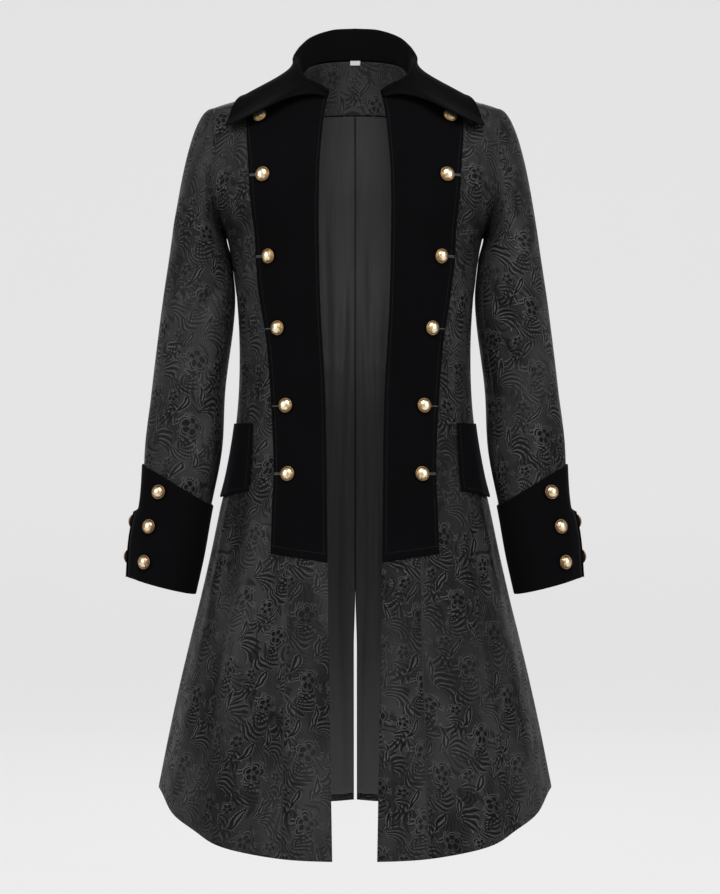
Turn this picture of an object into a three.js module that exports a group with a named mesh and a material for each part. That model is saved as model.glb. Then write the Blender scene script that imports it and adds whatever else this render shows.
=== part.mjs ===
// A long velvet-trimmed brocade tailcoat, hollow and filled out as if worn, open down the front.
// Millimetres, +Z up. The front faces -Y and the wearer's left is +X. The origin lies between the
// side neck points, at the height where the coat rests on the wearer's shoulders.
import * as THREE from "three";

// Cloth and fastenings
const CLOTH = 1.6; // brocade with its interlining
const LINING = 1.0;
const VELVET = 2.2;
const SEAM = 0.2; // each side of a seam, so that two pieces stay 0.4 apart
const LAYER = 0.5; // between a piece and what lies on it

// Heights
const CHEST = -228; // bottom of the armholes
const SKIRT = -500; // where the folds of the skirt begin
const HEM_SIDE = -1006;
const HEM_FRONT_DROP = 68;
const HEM_BACK_DROP = 54;
const VENT_TOP = -737;
const VENT_HALF_GAP = 2.2;
const FACING_BOTTOM = -39;
const FACING_SIDE_BOTTOM = -62;
const LAPEL_TOP = 0.15; // in rows of the front, below the neckline
const LAPEL_TOP_OUTER = 2; // the same under the leaf of the collar

// Shoulder line, from the side neck point to the shoulder point
const NECK_HALF = 80;
const NECK_SIDE_Z = 0.7;
const SHOULDER_SLOPE = 0.372;
const SHOULDER_X = 203;
const SHOULDER_DIP = 4; // of the shoulder line between those two points
const BACK_NECK_RISE = 140;
const BACK_NECK_POWER = 1.4;

// The worn shell at each height: half width, depth of the front and of the back from the side line,
// and the power of its rounded section (2 is an ellipse).
const SHELL = [
  { z: 60, width: 228, front: 118, back: 114, power: 2.2 },
  { z: -45, width: 228, front: 121, back: 114, power: 2.2 },
  { z: -77, width: 229, front: 122, back: 114, power: 2.2 },
  { z: -114, width: 231, front: 123, back: 114, power: 2.2 },
  { z: -150, width: 225, front: 124, back: 114, power: 2.2 },
  { z: -184, width: 210, front: 125, back: 114, power: 2.2 },
  { z: -207, width: 194, front: 126, back: 113, power: 2.2 },
  { z: -228, width: 181, front: 126, back: 112, power: 2.2 },
  { z: -262, width: 173.5, front: 125, back: 109, power: 2.2 },
  { z: -300, width: 168.6, front: 123, back: 104, power: 2.2 },
  { z: -370, width: 164, front: 119, back: 96, power: 2.2 },
  { z: -440, width: 164.4, front: 117, back: 92, power: 2.2 },
  { z: -500, width: 169.5, front: 121, back: 97, power: 2.18 },
  { z: -565, width: 179.5, front: 130, back: 109, power: 2.14 },
  { z: -607, width: 189, front: 137, back: 118, power: 2.12 },
  { z: -672, width: 202, front: 148, back: 130, power: 2.1 },
  { z: -735, width: 216.5, front: 158, back: 142, power: 2.08 },
  { z: -800, width: 233, front: 170, back: 156, power: 2.05 },
  { z: -870, width: 249.5, front: 182, back: 170, power: 2.02 },
  { z: -935, width: 263.5, front: 193, back: 184, power: 2 },
  { z: -1006, width: 277.5, front: 205, back: 198, power: 2 },
  { z: -1080, width: 292, front: 217, back: 211, power: 2 },
];

// Where the seams and edges run on the shell: distance from the centre line at each height.
const FRONT_EDGE = [
  { z: -38, x: 36 },
  { z: -75, x: 43 },
  { z: -160, x: 49 },
  { z: -325, x: 47 },
  { z: -460, x: 40 },
  { z: -672, x: 37 },
  { z: -870, x: 34 },
  { z: -1075, x: 30 },
];
const FRONT_SEAM = [
  { z: -17, x: 130 },
  { z: -120, x: 108 },
  { z: -228, x: 98 },
  { z: -440, x: 84 },
  { z: -672, x: 89 },
  { z: -1075, x: 98 },
];
const BACK_SEAM = [
  { z: -19, x: 135 },
  { z: -120, x: 118 },
  { z: -228, x: 104 },
  { z: -440, x: 72 },
  { z: -607, x: 84 },
  { z: -800, x: 106 },
  { z: -1075, x: 130 },
];
const ARMHOLE = [
  { z: -45, x: 203 },
  { z: -77, x: 201.5 },
  { z: -114, x: 199.5 },
  { z: -150, x: 198.5 },
  { z: -184, x: 196 },
  { z: -207, x: 190 },
  { z: -221, x: 184 },
  { z: -228, x: 181 },
];
const LAPEL_EDGE = [
  { z: -30, x: 148 },
  { z: -84, x: 150 },
  { z: -128, x: 147 },
  { z: -176, x: 144 },
  { z: -241, x: 138 },
  { z: -320, x: 130.5 },
  { z: -382, x: 121 },
  { z: -477, x: 114 },
  { z: -555, x: 111 },
  { z: -625, x: 114 },
  { z: -672, x: 116 },
];
const LAPEL_BOTTOM_OUTER = -671;
const LAPEL_BOTTOM_INNER = -681;

// The neckline from the front corner to the side neck point, and from there to the centre back.
const FRONT_NECK = [
  { t: 0, x: 36, z: -38 },
  { t: 0.25, x: 48, z: -31.5 },
  { t: 0.5, x: 60, z: -28 },
  { t: 0.75, x: 72, z: -19 },
  { t: 0.9, x: 79, z: -7 },
  { t: 1, x: 80, z: 0.7 },
];
const BACK_NECK = [
  { t: 0, x: 80, z: 0.7 },
  { t: 0.15, x: 76, z: 6 },
  { t: 0.35, x: 66, z: 22 },
  { t: 0.6, x: 45, z: 33 },
  { t: 0.82, x: 20, z: 37.3 },
  { t: 1, x: 0, z: 38 },
];

// Skirt folds: a crest every 24 degrees round the hem, deepest at the hem. They hang straight down at
// the front and the back, and spread with the skirt at the sides.
const FOLD_COUNT = 15;
const FOLD_CREST = THREE.MathUtils.degToRad(15.5);
const FOLD_DEPTH = 5;
const HEM_HALF_WIDTH = 280;

// Sleeve rings below the arm: centre, half width, half depth and tilt of each ring.
const SLEEVE = [
  { z: -262, x: 219.5, y: 0, wide: 44.9, deep: 60, tilt: 0 },
  { z: -309, x: 220.7, y: -1, wide: 50.6, deep: 61, tilt: 1 },
  { z: -351, x: 224.5, y: -3, wide: 52.1, deep: 61, tilt: 3 },
  { z: -437, x: 234.7, y: -10, wide: 51.6, deep: 59, tilt: 6 },
  { z: -522, x: 240.7, y: -22, wide: 53.7, deep: 56, tilt: 9 },
  { z: -607, x: 250.6, y: -36, wide: 48, deep: 52, tilt: 12 },
  { z: -665, x: 260, y: -43, wide: 47.6, deep: 49, tilt: 13 },
  { z: -719, x: 268, y: -48, wide: 44.1, deep: 46, tilt: 15 },
];
const SLEEVE_END = -715;
const SLEEVE_START_GAP = 0.7;
// How far the sleeve head reaches out of the armhole before it turns down, by the angle from the top.
const SLEEVE_HEAD = [
  { angle: 0, out: 104, fore: 0, up: -14, down: 150 },
  { angle: 45, out: 72, fore: 10, up: -12, down: 130 },
  { angle: 90, out: 46, fore: 12, up: -10, down: 90 },
  { angle: 135, out: 16, fore: 6, up: -16, down: 50 },
  { angle: 180, out: 5, fore: 0, up: -20, down: 34 },
];
const SLEEVE_FRONT_SEAM = 145;
const SLEEVE_BACK_SEAM = -115;

// Cuffs: the top edge rises to a point over the slit at the outer seam.
const CUFF_BOTTOM = -718.5;
const CUFF_TOP_OUTER = -558;
const CUFF_TOP_INNER = -597;
const CUFF_SLIT_TOP = -622;
const CUFF_SLIT_ANGLE = 8;
const CUFF_SLIT_HALF = 3.2; // degrees, where the slit is open
const CUFF_SLIT_OPENS = 5; // the height in which the slit opens and its edges flare out
const CUFF_LIFT = 0.9;
const CUFF_FLARE = 7;
const CUFF_FLARE_REACH = 26;

// Pocket flaps, from the angle of the front edge round the side of the waist.
const FLAP_FRONT_ANGLE = 55;
const FLAP_FRONT_ANGLE_BELOW = 51; // at its lower edge
const FLAP_BACK_ANGLE = 118;
const FLAP_TOP = -492;
const FLAP_FRONT_HEIGHT = 94;
const FLAP_SIDE_DROP = 11;
const FLAP_LIFT = 1.4;

// Collar: for each step along the neckline (0 at the front corner, 8 at the side neck point, 18 at the
// centre back) the top of the fold, the free edge, how far the fall drops before it spreads, and how
// much it bellies out.
const COLLAR = [
  { step: 0, foldX: 37.5, foldY: -88, foldZ: -33, edgeX: 40, edgeY: -90.5, edgeZ: -41, drop: 2, belly: 0 },
  { step: 1, foldX: 48, foldY: -84, foldZ: -26, edgeX: 63, edgeY: -90, edgeZ: -38, drop: 3, belly: 0 },
  { step: 2, foldX: 58, foldY: -75, foldZ: -19, edgeX: 94, edgeY: -90, edgeZ: -44, drop: 4, belly: 1 },
  { step: 3, foldX: 69, foldY: -64, foldZ: -12, edgeX: 134, edgeY: -95, edgeZ: -63, drop: 6, belly: 14 },
  { step: 4, foldX: 77, foldY: -52, foldZ: -3, edgeX: 178, edgeY: -71, edgeZ: -79, drop: 10, belly: 17 },
  { step: 5, foldX: 81, foldY: -40, foldZ: 6, edgeX: 174, edgeY: -50, edgeZ: -62, drop: 15, belly: 3 },
  { step: 6, foldX: 83.5, foldY: -27, foldZ: 14, edgeX: 168, edgeY: -33, edgeZ: -43, drop: 18, belly: -6 },
  { step: 7, foldX: 85, foldY: -13, foldZ: 21, edgeX: 161, edgeY: -16, edgeZ: -31, drop: 20, belly: -11 },
  { step: 8, foldX: 86, foldY: 2, foldZ: 29, edgeX: 154, edgeY: 1, edgeZ: -27, drop: 22, belly: -12 },
  { step: 9, foldX: 84, foldY: 17, foldZ: 38, edgeX: 147, edgeY: 20, edgeZ: -25, drop: 23, belly: -10 },
  { step: 11, foldX: 77, foldY: 43, foldZ: 53, edgeX: 128, edgeY: 51, edgeZ: -22, drop: 25, belly: 4 },
  { step: 13.5, foldX: 62, foldY: 73, foldZ: 71, edgeX: 98, edgeY: 77, edgeZ: -14, drop: 26, belly: 4 },
  { step: 16, foldX: 34, foldY: 92, foldZ: 84, edgeX: 52, edgeY: 100, edgeZ: 1, drop: 26, belly: 2 },
  { step: 18, foldX: 0, foldY: 98, foldZ: 87, edgeX: 0, edgeY: 108, edgeZ: 8, drop: 26, belly: 1 },
];
const COLLAR_FRONT_STEPS = 8;
const COLLAR_STEPS = 18;
const COLLAR_CLOTH = 2;
const COLLAR_ROLL = 2.6; // radius of the fold, to the middle of the cloth
const COLLAR_SEAT = 1.1; // above the neckline
const COLLAR_REST = 4.6; // from the shell to the middle of the fall, where it lies on the coat

// Buttons: domed, on a short shank.
const BUTTON_RADIUS = 10;
const BUTTON_HEIGHT = 8.6;
const BUTTON_GAP = 0.4; // the shank stands this far off the cloth
const LAPEL_BUTTONS = [
  { x: 130, z: -68 },
  { x: 125, z: -151 },
  { x: 116.5, z: -262 },
  { x: 104, z: -361 },
  { x: 93, z: -468 },
  { x: 90, z: -562 },
];
const CUFF_BUTTONS = [
  { ring: -592, angle: 64 },
  { ring: -641, angle: 57 },
  { ring: -690, angle: 58 },
  { ring: -592, angle: -40 },
  { ring: -641, angle: -11 },
  { ring: -690, angle: -11 },
];

const LABEL_WIDTH = 16;
const LABEL_HEIGHT = 6.5;
const LABEL_TOP = 39.2;

const lerp = THREE.MathUtils.lerp;
const radians = THREE.MathUtils.degToRad;
const smooth = THREE.MathUtils.smoothstep;

// A smooth curve through one column of a table, by another column.
function through(table, by, column) {
  const rows = [...table].sort((a, b) => a[by] - b[by]);
  const slope = (i) => {
    const a = rows[Math.max(i - 1, 0)];
    const b = rows[Math.min(i + 1, rows.length - 1)];
    return (b[column] - a[column]) / (b[by] - a[by]);
  };
  return (value) => {
    const v = Math.min(Math.max(value, rows[0][by]), rows[rows.length - 1][by]);
    let i = 0;
    while (i < rows.length - 2 && v > rows[i + 1][by]) i++;
    const span = rows[i + 1][by] - rows[i][by];
    const t = (v - rows[i][by]) / span;
    const t2 = t * t;
    const t3 = t2 * t;
    return (
      (2 * t3 - 3 * t2 + 1) * rows[i][column] +
      (t3 - 2 * t2 + t) * span * slope(i) +
      (3 * t2 - 2 * t3) * rows[i + 1][column] +
      (t3 - t2) * span * slope(i + 1)
    );
  };
}

const shellWidth = through(SHELL, "z", "width");
const shellFront = through(SHELL, "z", "front");
const shellBack = through(SHELL, "z", "back");
const shellPower = through(SHELL, "z", "power");
const frontEdge = through(FRONT_EDGE, "z", "x");
const frontSeam = through(FRONT_SEAM, "z", "x");
const backSeam = through(BACK_SEAM, "z", "x");
const armhole = through(ARMHOLE, "z", "x");
const lapelEdge = through(LAPEL_EDGE, "z", "x");

const FRONT = -1;
const BACK = 1;

// Height of the shoulder line over a point, carried on up the neck at the back.
function ridge(x, side) {
  const across = Math.min(1, Math.max(0, (Math.abs(x) - NECK_HALF) / (SHOULDER_X - NECK_HALF)));
  const dip = SHOULDER_DIP * Math.sin(Math.PI * across) ** 2;
  const line = NECK_SIDE_Z - SHOULDER_SLOPE * (Math.abs(x) - NECK_HALF) - dip;
  const within = Math.max(0, 1 - (x / NECK_HALF) ** 2);
  return side === BACK ? line + BACK_NECK_RISE * within ** BACK_NECK_POWER : line;
}

// How far a height has climbed from the chest line to the shoulder line.
function climb(x, z, side) {
  return Math.max(0, (z - CHEST) / (ridge(x, side) - CHEST));
}

// Zero on the shell, positive inside it.
function inside(x, y, z, side) {
  const power = shellPower(z);
  const depth = side === FRONT ? shellFront(z) : shellBack(z);
  const across = 1 - (Math.abs(x) / shellWidth(z)) ** power;
  const up = 1 - climb(x, z, side) ** power;
  return across * up - (Math.abs(y) / depth) ** power;
}

function outward(x, y, z, side) {
  const step = 0.5;
  return new THREE.Vector3(
    inside(x - step, y, z, side) - inside(x + step, y, z, side),
    inside(x, y - step, z, side) - inside(x, y + step, z, side),
    inside(x, y, z - step, side) - inside(x, y, z + step, side),
  ).normalize();
}

// How far a point stands off the shell, near it.
function offShell({ x, y, z }, side) {
  const step = 0.5;
  const slope = new THREE.Vector3(
    inside(x + step, y, z, side) - inside(x - step, y, z, side),
    inside(x, y + step, z, side) - inside(x, y - step, z, side),
    inside(x, y, z + step, side) - inside(x, y, z - step, side),
  ).length();
  return (-inside(x, y, z, side) * 2 * step) / slope;
}

// Angle round the body of a point on the shell, from the front centre line.
function angleAt(x, z, side) {
  const power = shellPower(z);
  const quarter = Math.asin(Math.min(1, (Math.abs(x) / shellWidth(z)) ** (power / 2)));
  return side === FRONT ? quarter : Math.PI - quarter;
}

function fold(x, z, side) {
  const angle = angleAt(x, z, FRONT);
  const straight = Math.asin(Math.min(1, Math.abs(x) / HEM_HALF_WIDTH));
  const hanging = lerp(angle, straight, Math.cos(angle) ** 2);
  const round = side === FRONT ? hanging : Math.PI - hanging;
  const reach = smooth(SKIRT - z, 0, 0.7 * (SKIRT - HEM_SIDE));
  return FOLD_DEPTH * reach * Math.cos(FOLD_COUNT * (round - FOLD_CREST));
}

// A point of the garment's outer face, with the direction out of the cloth. lift moves it off the cloth.
function onShell(x, z, side, lift = 0) {
  const power = shellPower(z);
  const depth = side === FRONT ? shellFront(z) : shellBack(z);
  const across = Math.max(0, 1 - (Math.abs(x) / shellWidth(z)) ** power);
  const up = Math.max(0, 1 - climb(x, z, side) ** power);
  const y = side * depth * (across * up) ** (1 / power);
  const normal = outward(x, y, z, side);
  const point = new THREE.Vector3(x, y + side * SEAM, z);
  point.addScaledVector(normal, lift + fold(x, z, side));
  return { point, normal };
}

function aroundShell(angle, z, lift = 0) {
  const side = Math.cos(angle) >= 0 ? FRONT : BACK;
  const x = shellWidth(z) * Math.abs(Math.sin(angle)) ** (2 / shellPower(z));
  return onShell(x, z, side, lift);
}

function hem(x, z, side) {
  const drop = side === FRONT ? HEM_FRONT_DROP : HEM_BACK_DROP;
  return HEM_SIDE - drop * smooth(Math.abs(Math.cos(angleAt(x, z, side))), 0.1, 0.96);
}

// A cloth wall: a grid of points with their outward directions, given a thickness.
// place(u, v) runs u across the piece and v down it. Faces follow the grid so that they point out.
function wall(columns, rows, place, top, bottom) {
  const positions = [];
  const across = columns + 1;
  for (const level of [top, bottom])
    for (let j = 0; j <= rows; j++)
      for (let i = 0; i <= columns; i++) {
        const { point, normal } = place(i / columns, j / rows);
        positions.push(...point.clone().addScaledVector(normal, level).toArray());
      }
  const layer = across * (rows + 1);
  const indices = [];
  const quad = (a, b, c, d) => indices.push(a, b, c, a, c, d);
  for (let j = 0; j < rows; j++)
    for (let i = 0; i < columns; i++) {
      const a = j * across + i;
      quad(a, a + across, a + across + 1, a + 1);
      quad(layer + a, layer + a + 1, layer + a + across + 1, layer + a + across);
    }
  const last = rows * across;
  for (let i = 0; i < columns; i++) {
    quad(i, i + 1, layer + i + 1, layer + i);
    quad(last + i + 1, last + i, layer + last + i, layer + last + i + 1);
  }
  for (let j = 0; j < rows; j++) {
    const a = j * across;
    const b = a + columns;
    quad(a + across, a, layer + a, layer + a + across);
    quad(b, b + across, layer + b + across, layer + b);
  }
  const geometry = new THREE.BufferGeometry();
  geometry.setAttribute("position", new THREE.Float32BufferAttribute(positions, 3));
  geometry.setIndex(indices);
  geometry.computeVertexNormals();
  return geometry;
}

// The same piece for the other side of the coat.
function mirrored(geometry) {
  const copy = geometry.clone().scale(-1, 1, 1);
  const index = copy.getIndex();
  for (let i = 0; i < index.count; i += 3) {
    const b = index.getX(i + 1);
    index.setX(i + 1, index.getX(i + 2));
    index.setX(i + 2, b);
  }
  copy.computeVertexNormals();
  return copy;
}

// Turns a wall's faces round, for a grid whose columns run the other way.
function turned(geometry) {
  return mirrored(geometry.scale(-1, 1, 1));
}

// Rows of a body panel: an upper part to the chest line, then down to the hem.
const UPPER_ROWS = 7;
const ROW_HEIGHTS = [
  CHEST, -268, -315, -370, -425, -475, -520, -562, -604, -646, -692, -738, -785, -835, -885, -945, HEM_SIDE,
];
const BODY_ROWS = UPPER_ROWS + ROW_HEIGHTS.length - 1;
const FRONT_CENTRE_COLUMNS = 6;
const FRONT_SIDE_COLUMNS = 10;
const BACK_SIDE_COLUMNS = 8;
const BACK_CENTRE_COLUMNS = 7;
const SHOULDER_COLUMNS = 2; // of a centre panel; its other columns start on the neckline

function rowHeight(row) {
  const i = Math.min(Math.floor(row - UPPER_ROWS), ROW_HEIGHTS.length - 2);
  return lerp(ROW_HEIGHTS[i], ROW_HEIGHTS[i + 1], row - UPPER_ROWS - i);
}

// Upper rows stand close together near the shoulder line, where the shell turns over.
function upperShare(row) {
  return 1 - Math.cos((row / UPPER_ROWS) * (Math.PI / 2));
}

// Where a point of a panel lies in the frontal plane, by its share u from the inner to the outer
// edge and by its row. inner and outer give the two edges, top(u) the top boundary.
function panel(side, inner, outer, top) {
  const between = (u, z) => {
    const angle = lerp(angleAt(inner(z), z, side), angleAt(outer(z), z, side), u);
    return shellWidth(z) * Math.sin(angle) ** (2 / shellPower(z));
  };
  return (u, row) => {
    if (row <= UPPER_ROWS) {
      const t = upperShare(row);
      const start = top(u);
      const zInner = lerp(top(0).z, CHEST, t);
      const zOuter = lerp(top(1).z, CHEST, t);
      const innerPull = inner(zInner) - lerp(top(0).x, inner(CHEST), t);
      const outerPull = outer(zOuter) - lerp(top(1).x, outer(CHEST), t);
      const x = lerp(start.x, between(u, CHEST), t) + (1 - u) * innerPull + u * outerPull;
      return { x, z: lerp(start.z, CHEST, t) };
    }
    // The rows of the skirt spread so that the last one lies on the curved hem.
    const level = rowHeight(row);
    const share = smooth(SKIRT - level, 0, SKIRT - HEM_SIDE);
    const z = level + (hem(between(u, HEM_SIDE), HEM_SIDE, side) - HEM_SIDE) * share;
    return { x: between(u, z), z };
  };
}

// Points of a panel's faces, flat between its own corners, so that what is laid on it keeps clear.
function onPanel(at, side, columns) {
  return (u, row) => {
    const i = Math.min(Math.floor(u * columns + 1e-9), columns - 1);
    const j = Math.min(Math.floor(row + 1e-9), BODY_ROWS - 1);
    const point = new THREE.Vector3();
    const normal = new THREE.Vector3();
    for (const [di, wi] of [[0, 1 - (u * columns - i)], [1, u * columns - i]])
      for (const [dj, wj] of [[0, 1 - (row - j)], [1, row - j]]) {
        if (Math.abs(wi * wj) < 1e-9) continue;
        const { x, z } = at((i + di) / columns, j + dj);
        const corner = onShell(x, z, side);
        point.addScaledVector(corner.point, wi * wj);
        normal.addScaledVector(corner.normal, wi * wj);
      }
    return { point, normal: normal.normalize() };
  };
}

// The row at which a panel reaches a height.
function rowAt(at, u, z) {
  let low = 0;
  let high = BODY_ROWS;
  for (let i = 0; i < 30; i++) {
    const row = (low + high) / 2;
    if (at(u, row).z > z) low = row;
    else high = row;
  }
  return low;
}

// The share of a panel's width at which it reaches a distance from the centre line.
function shareAt(at, row, x) {
  let low = 0;
  let high = 1;
  for (let i = 0; i < 30; i++) {
    const u = (low + high) / 2;
    if (at(u, row).x < x) low = u;
    else high = u;
  }
  return low;
}

// The top boundary of a centre panel: the neckline, then the shoulder seam out to the panel's seam.
function neckAndShoulder(neck, reverse, seamX, side, columns) {
  const neckX = through(neck, "t", "x");
  const neckZ = through(neck, "t", "z");
  const share = 1 - SHOULDER_COLUMNS / columns;
  return (u) => {
    if (u <= share) {
      const t = reverse ? 1 - u / share : u / share;
      return { x: neckX(t), z: neckZ(t) };
    }
    const x = lerp(NECK_HALF, seamX, (u - share) / (1 - share));
    return { x, z: ridge(x, side === BACK && x < NECK_HALF ? BACK : FRONT) };
  };
}

function shoulder(fromX) {
  return (u) => {
    const x = lerp(fromX, SHOULDER_X, u);
    return { x, z: ridge(x, FRONT) };
  };
}

const FRONT_SHOULDER_SEAM = 130;
const BACK_SHOULDER_SEAM = 135;
const toSide = (z) => (z > CHEST ? armhole(z) : shellWidth(z));
const ventGap = (z) => lerp(SEAM, VENT_HALF_GAP, smooth(VENT_TOP - z, 0, 90));

const frontCentre = panel(
  FRONT,
  frontEdge,
  (z) => frontSeam(z) - SEAM,
  neckAndShoulder(FRONT_NECK, false, FRONT_SHOULDER_SEAM - SEAM, FRONT, FRONT_CENTRE_COLUMNS),
);
const frontSide = panel(FRONT, (z) => frontSeam(z) + SEAM, toSide, shoulder(FRONT_SHOULDER_SEAM + SEAM));
const backSide = panel(BACK, (z) => backSeam(z) + SEAM, toSide, shoulder(BACK_SHOULDER_SEAM + SEAM));
const backCentre = panel(
  BACK,
  ventGap,
  (z) => backSeam(z) - SEAM,
  neckAndShoulder(BACK_NECK, true, BACK_SHOULDER_SEAM - SEAM, BACK, BACK_CENTRE_COLUMNS),
);

const frontCentreFace = onPanel(frontCentre, FRONT, FRONT_CENTRE_COLUMNS);
const frontSideFace = onPanel(frontSide, FRONT, FRONT_SIDE_COLUMNS);
const backSideFace = onPanel(backSide, BACK, BACK_SIDE_COLUMNS);
const backCentreFace = onPanel(backCentre, BACK, BACK_CENTRE_COLUMNS);

// The neck facing ends, and the lining of the back begins, part way down the upper back.
function facingEnd(u) {
  return rowAt(backCentre, u, lerp(FACING_BOTTOM, FACING_SIDE_BOTTOM, u ** 2));
}

const LINING_ROWS = BODY_ROWS - 3;
function liningPlace(u, v) {
  const row = Math.round(v * LINING_ROWS);
  return backCentreFace(u, row === 0 ? facingEnd(u) + 0.02 : row + 3);
}

function facingPlace(u, v) {
  const share = Math.abs(2 * u - 1);
  const row = [0.15, 1, 2, facingEnd(share) - 0.02][Math.round(v * 3)];
  const placed = backCentreFace(share, row);
  if (share < 1e-9) placed.point.x = 0;
  placed.point.x *= u < 0.5 ? -1 : 1;
  placed.normal.x *= u < 0.5 ? -1 : 1;
  return placed;
}

// The lapel keeps the rows and columns of the front below it, and goes on over the side panel.
const LAPEL_OUTER_COLUMNS = 3;
const LAPEL_ROWS = UPPER_ROWS + 10;
function lapelPlace(u, v) {
  const columns = FRONT_CENTRE_COLUMNS + LAPEL_OUTER_COLUMNS;
  const column = Math.round(u * columns);
  const row = Math.round(v * LAPEL_ROWS);
  const bottom = lerp(LAPEL_BOTTOM_INNER, LAPEL_BOTTOM_OUTER, u);
  const down = (at, share, start) => {
    if (row === LAPEL_ROWS) return rowAt(at, share, bottom);
    return Math.max(row, start + 0.3 * row);
  };
  if (column <= FRONT_CENTRE_COLUMNS) {
    const share = column / FRONT_CENTRE_COLUMNS;
    const start = lerp(LAPEL_TOP, LAPEL_TOP_OUTER, smooth(share, 0.35, 0.7));
    return frontCentreFace(share, down(frontCentre, share, start));
  }
  const level = down(frontSide, 0, LAPEL_TOP_OUTER);
  const { z } = frontSide(0.3, level);
  const reach = shareAt(frontSide, level, lapelEdge(z));
  return frontSideFace((reach * (column - FRONT_CENTRE_COLUMNS)) / LAPEL_OUTER_COLUMNS, level);
}

// A point of the sleeve. reach 0 to 1 runs from the armhole to the first ring, and below that ring
// is the height of the ring's centre. angle 0 is the outer side and 90 the front, in degrees.
const ringAt = {};
for (const column of ["x", "y", "wide", "deep", "tilt"]) ringAt[column] = through(SLEEVE, "z", column);
const headAt = {};
for (const column of ["out", "fore", "up", "down"]) headAt[column] = through(SLEEVE_HEAD, "angle", column);

function ringPoint(z, angle) {
  const a = radians(angle);
  const tilt = radians(ringAt.tilt(z));
  const wide = ringAt.wide(z) * Math.cos(a);
  return new THREE.Vector3(
    ringAt.x(z) + wide * Math.cos(tilt),
    ringAt.y(z) - ringAt.deep(z) * Math.sin(a),
    z + wide * Math.sin(tilt),
  );
}

function headPoint(reach, angle) {
  const round = ((((angle + 180) % 360) + 360) % 360) - 180;
  const side = round >= 0 ? FRONT : BACK;
  const turn = Math.abs(round);
  const z = (ridge(SHOULDER_X, FRONT) + CHEST) / 2 + ((ridge(SHOULDER_X, FRONT) - CHEST) / 2) * Math.cos(radians(turn));
  const start = onShell(armhole(z), z, side).point;
  start.x += SLEEVE_START_GAP;
  start.z += turn > 150 ? 0.5 : 0;
  start.y = start.y - side * SEAM;
  const first = SLEEVE[0].z;
  const end = ringPoint(first, round);
  const leave = new THREE.Vector3(headAt.out(turn), side * headAt.fore(turn), headAt.up(turn));
  const arrive = ringPoint(first - 1, round).sub(end).multiplyScalar(headAt.down(turn));
  const t = reach;
  const t2 = t * t;
  const t3 = t2 * t;
  return start
    .multiplyScalar(2 * t3 - 3 * t2 + 1)
    .addScaledVector(leave, t3 - 2 * t2 + t)
    .addScaledVector(end, 3 * t2 - 2 * t3)
    .addScaledVector(arrive, t3 - t2);
}

// along runs from 0 at the armhole through 1 at the first ring, then on by millimetres below it.
function sleevePoint(along, angle) {
  return along < 1 ? headPoint(Math.max(0, along), angle) : ringPoint(SLEEVE[0].z - (along - 1), angle);
}

function onSleeve(along, angle, lift = 0) {
  const step = along < 1 ? 0.01 : 0.8;
  const turn = 1.5;
  const down = sleevePoint(along + step, angle).sub(sleevePoint(along < step ? along : along - step, angle));
  const round = sleevePoint(along, angle + turn).sub(sleevePoint(along, angle - turn));
  const normal = round.cross(down).normalize();
  const point = sleevePoint(along, angle).addScaledVector(normal, lift);
  return { point, normal };
}

const HEAD_ROWS = 7;
const ARM_ROWS = 9;
function sleevePanel(fromAngle, toAngle) {
  return (u, v) => {
    const row = v * (HEAD_ROWS + ARM_ROWS);
    const below = ((row - HEAD_ROWS) / ARM_ROWS) * (SLEEVE[0].z - SLEEVE_END);
    const along = row <= HEAD_ROWS ? row / HEAD_ROWS : 1 + below;
    return onSleeve(along, lerp(fromAngle, toAngle, u));
  };
}

const CUFF_ROWS = 5;
const slitOpen = (height) => smooth(CUFF_SLIT_TOP - height, 0, CUFF_SLIT_OPENS);

function cuffFlare(height, away) {
  return CUFF_FLARE * slitOpen(height) * (1 - smooth(away, 0, CUFF_FLARE_REACH));
}

// Cuff: starts on the front side of the slit and runs round by the inner arm to its back side. One row
// of its points lies at the top of the slit and the next where the slit is fully open.
function cuffPlace(u, v) {
  const first = CUFF_SLIT_ANGLE;
  const full = lerp(first, first + 360, u);
  const rise = (1 + Math.cos(radians(full))) / 2;
  const top = lerp(CUFF_TOP_INNER, CUFF_TOP_OUTER, rise);
  const below = CUFF_SLIT_TOP - CUFF_SLIT_OPENS;
  const levels = [
    top,
    (top + CUFF_SLIT_TOP) / 2,
    CUFF_SLIT_TOP,
    below,
    (below + CUFF_BOTTOM) / 2,
    CUFF_BOTTOM,
  ];
  const height = levels[Math.round(v * CUFF_ROWS)];
  const half = lerp(0.35, CUFF_SLIT_HALF, slitOpen(height));
  const angle = lerp(first + half, first + 360 - half, u);
  const away = Math.min(angle - first, first + 360 - angle);
  return onSleeve(1 + SLEEVE[0].z - height, angle, CUFF_LIFT + cuffFlare(height, away));
}

// The cuff's outer face at a button, with the direction square to the stretch that the button covers.
const BUTTON_REACH = 10; // degrees round the cuff, to the button's edge
function onCuff(height, angle) {
  const at = (turn) => {
    const flare = cuffFlare(height, Math.abs(turn - CUFF_SLIT_ANGLE));
    return onSleeve(1 + SLEEVE[0].z - height, turn, CUFF_LIFT + VELVET + flare);
  };
  const { point, normal } = at(angle);
  const across = at(angle + BUTTON_REACH).point.sub(at(angle - BUTTON_REACH).point).normalize();
  return { point, normal: normal.addScaledVector(across, -normal.dot(across)).normalize() };
}

function flapPlace(u, v) {
  const front = lerp(FLAP_FRONT_ANGLE, FLAP_FRONT_ANGLE_BELOW, v);
  const angle = radians(lerp(front, FLAP_BACK_ANGLE, u));
  const side = 1 - Math.abs(2 * u - 1);
  const z = FLAP_TOP - v * (FLAP_FRONT_HEIGHT + FLAP_SIDE_DROP * side);
  return aroundShell(angle, z, 0.95 + FLAP_LIFT * v);
}

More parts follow.
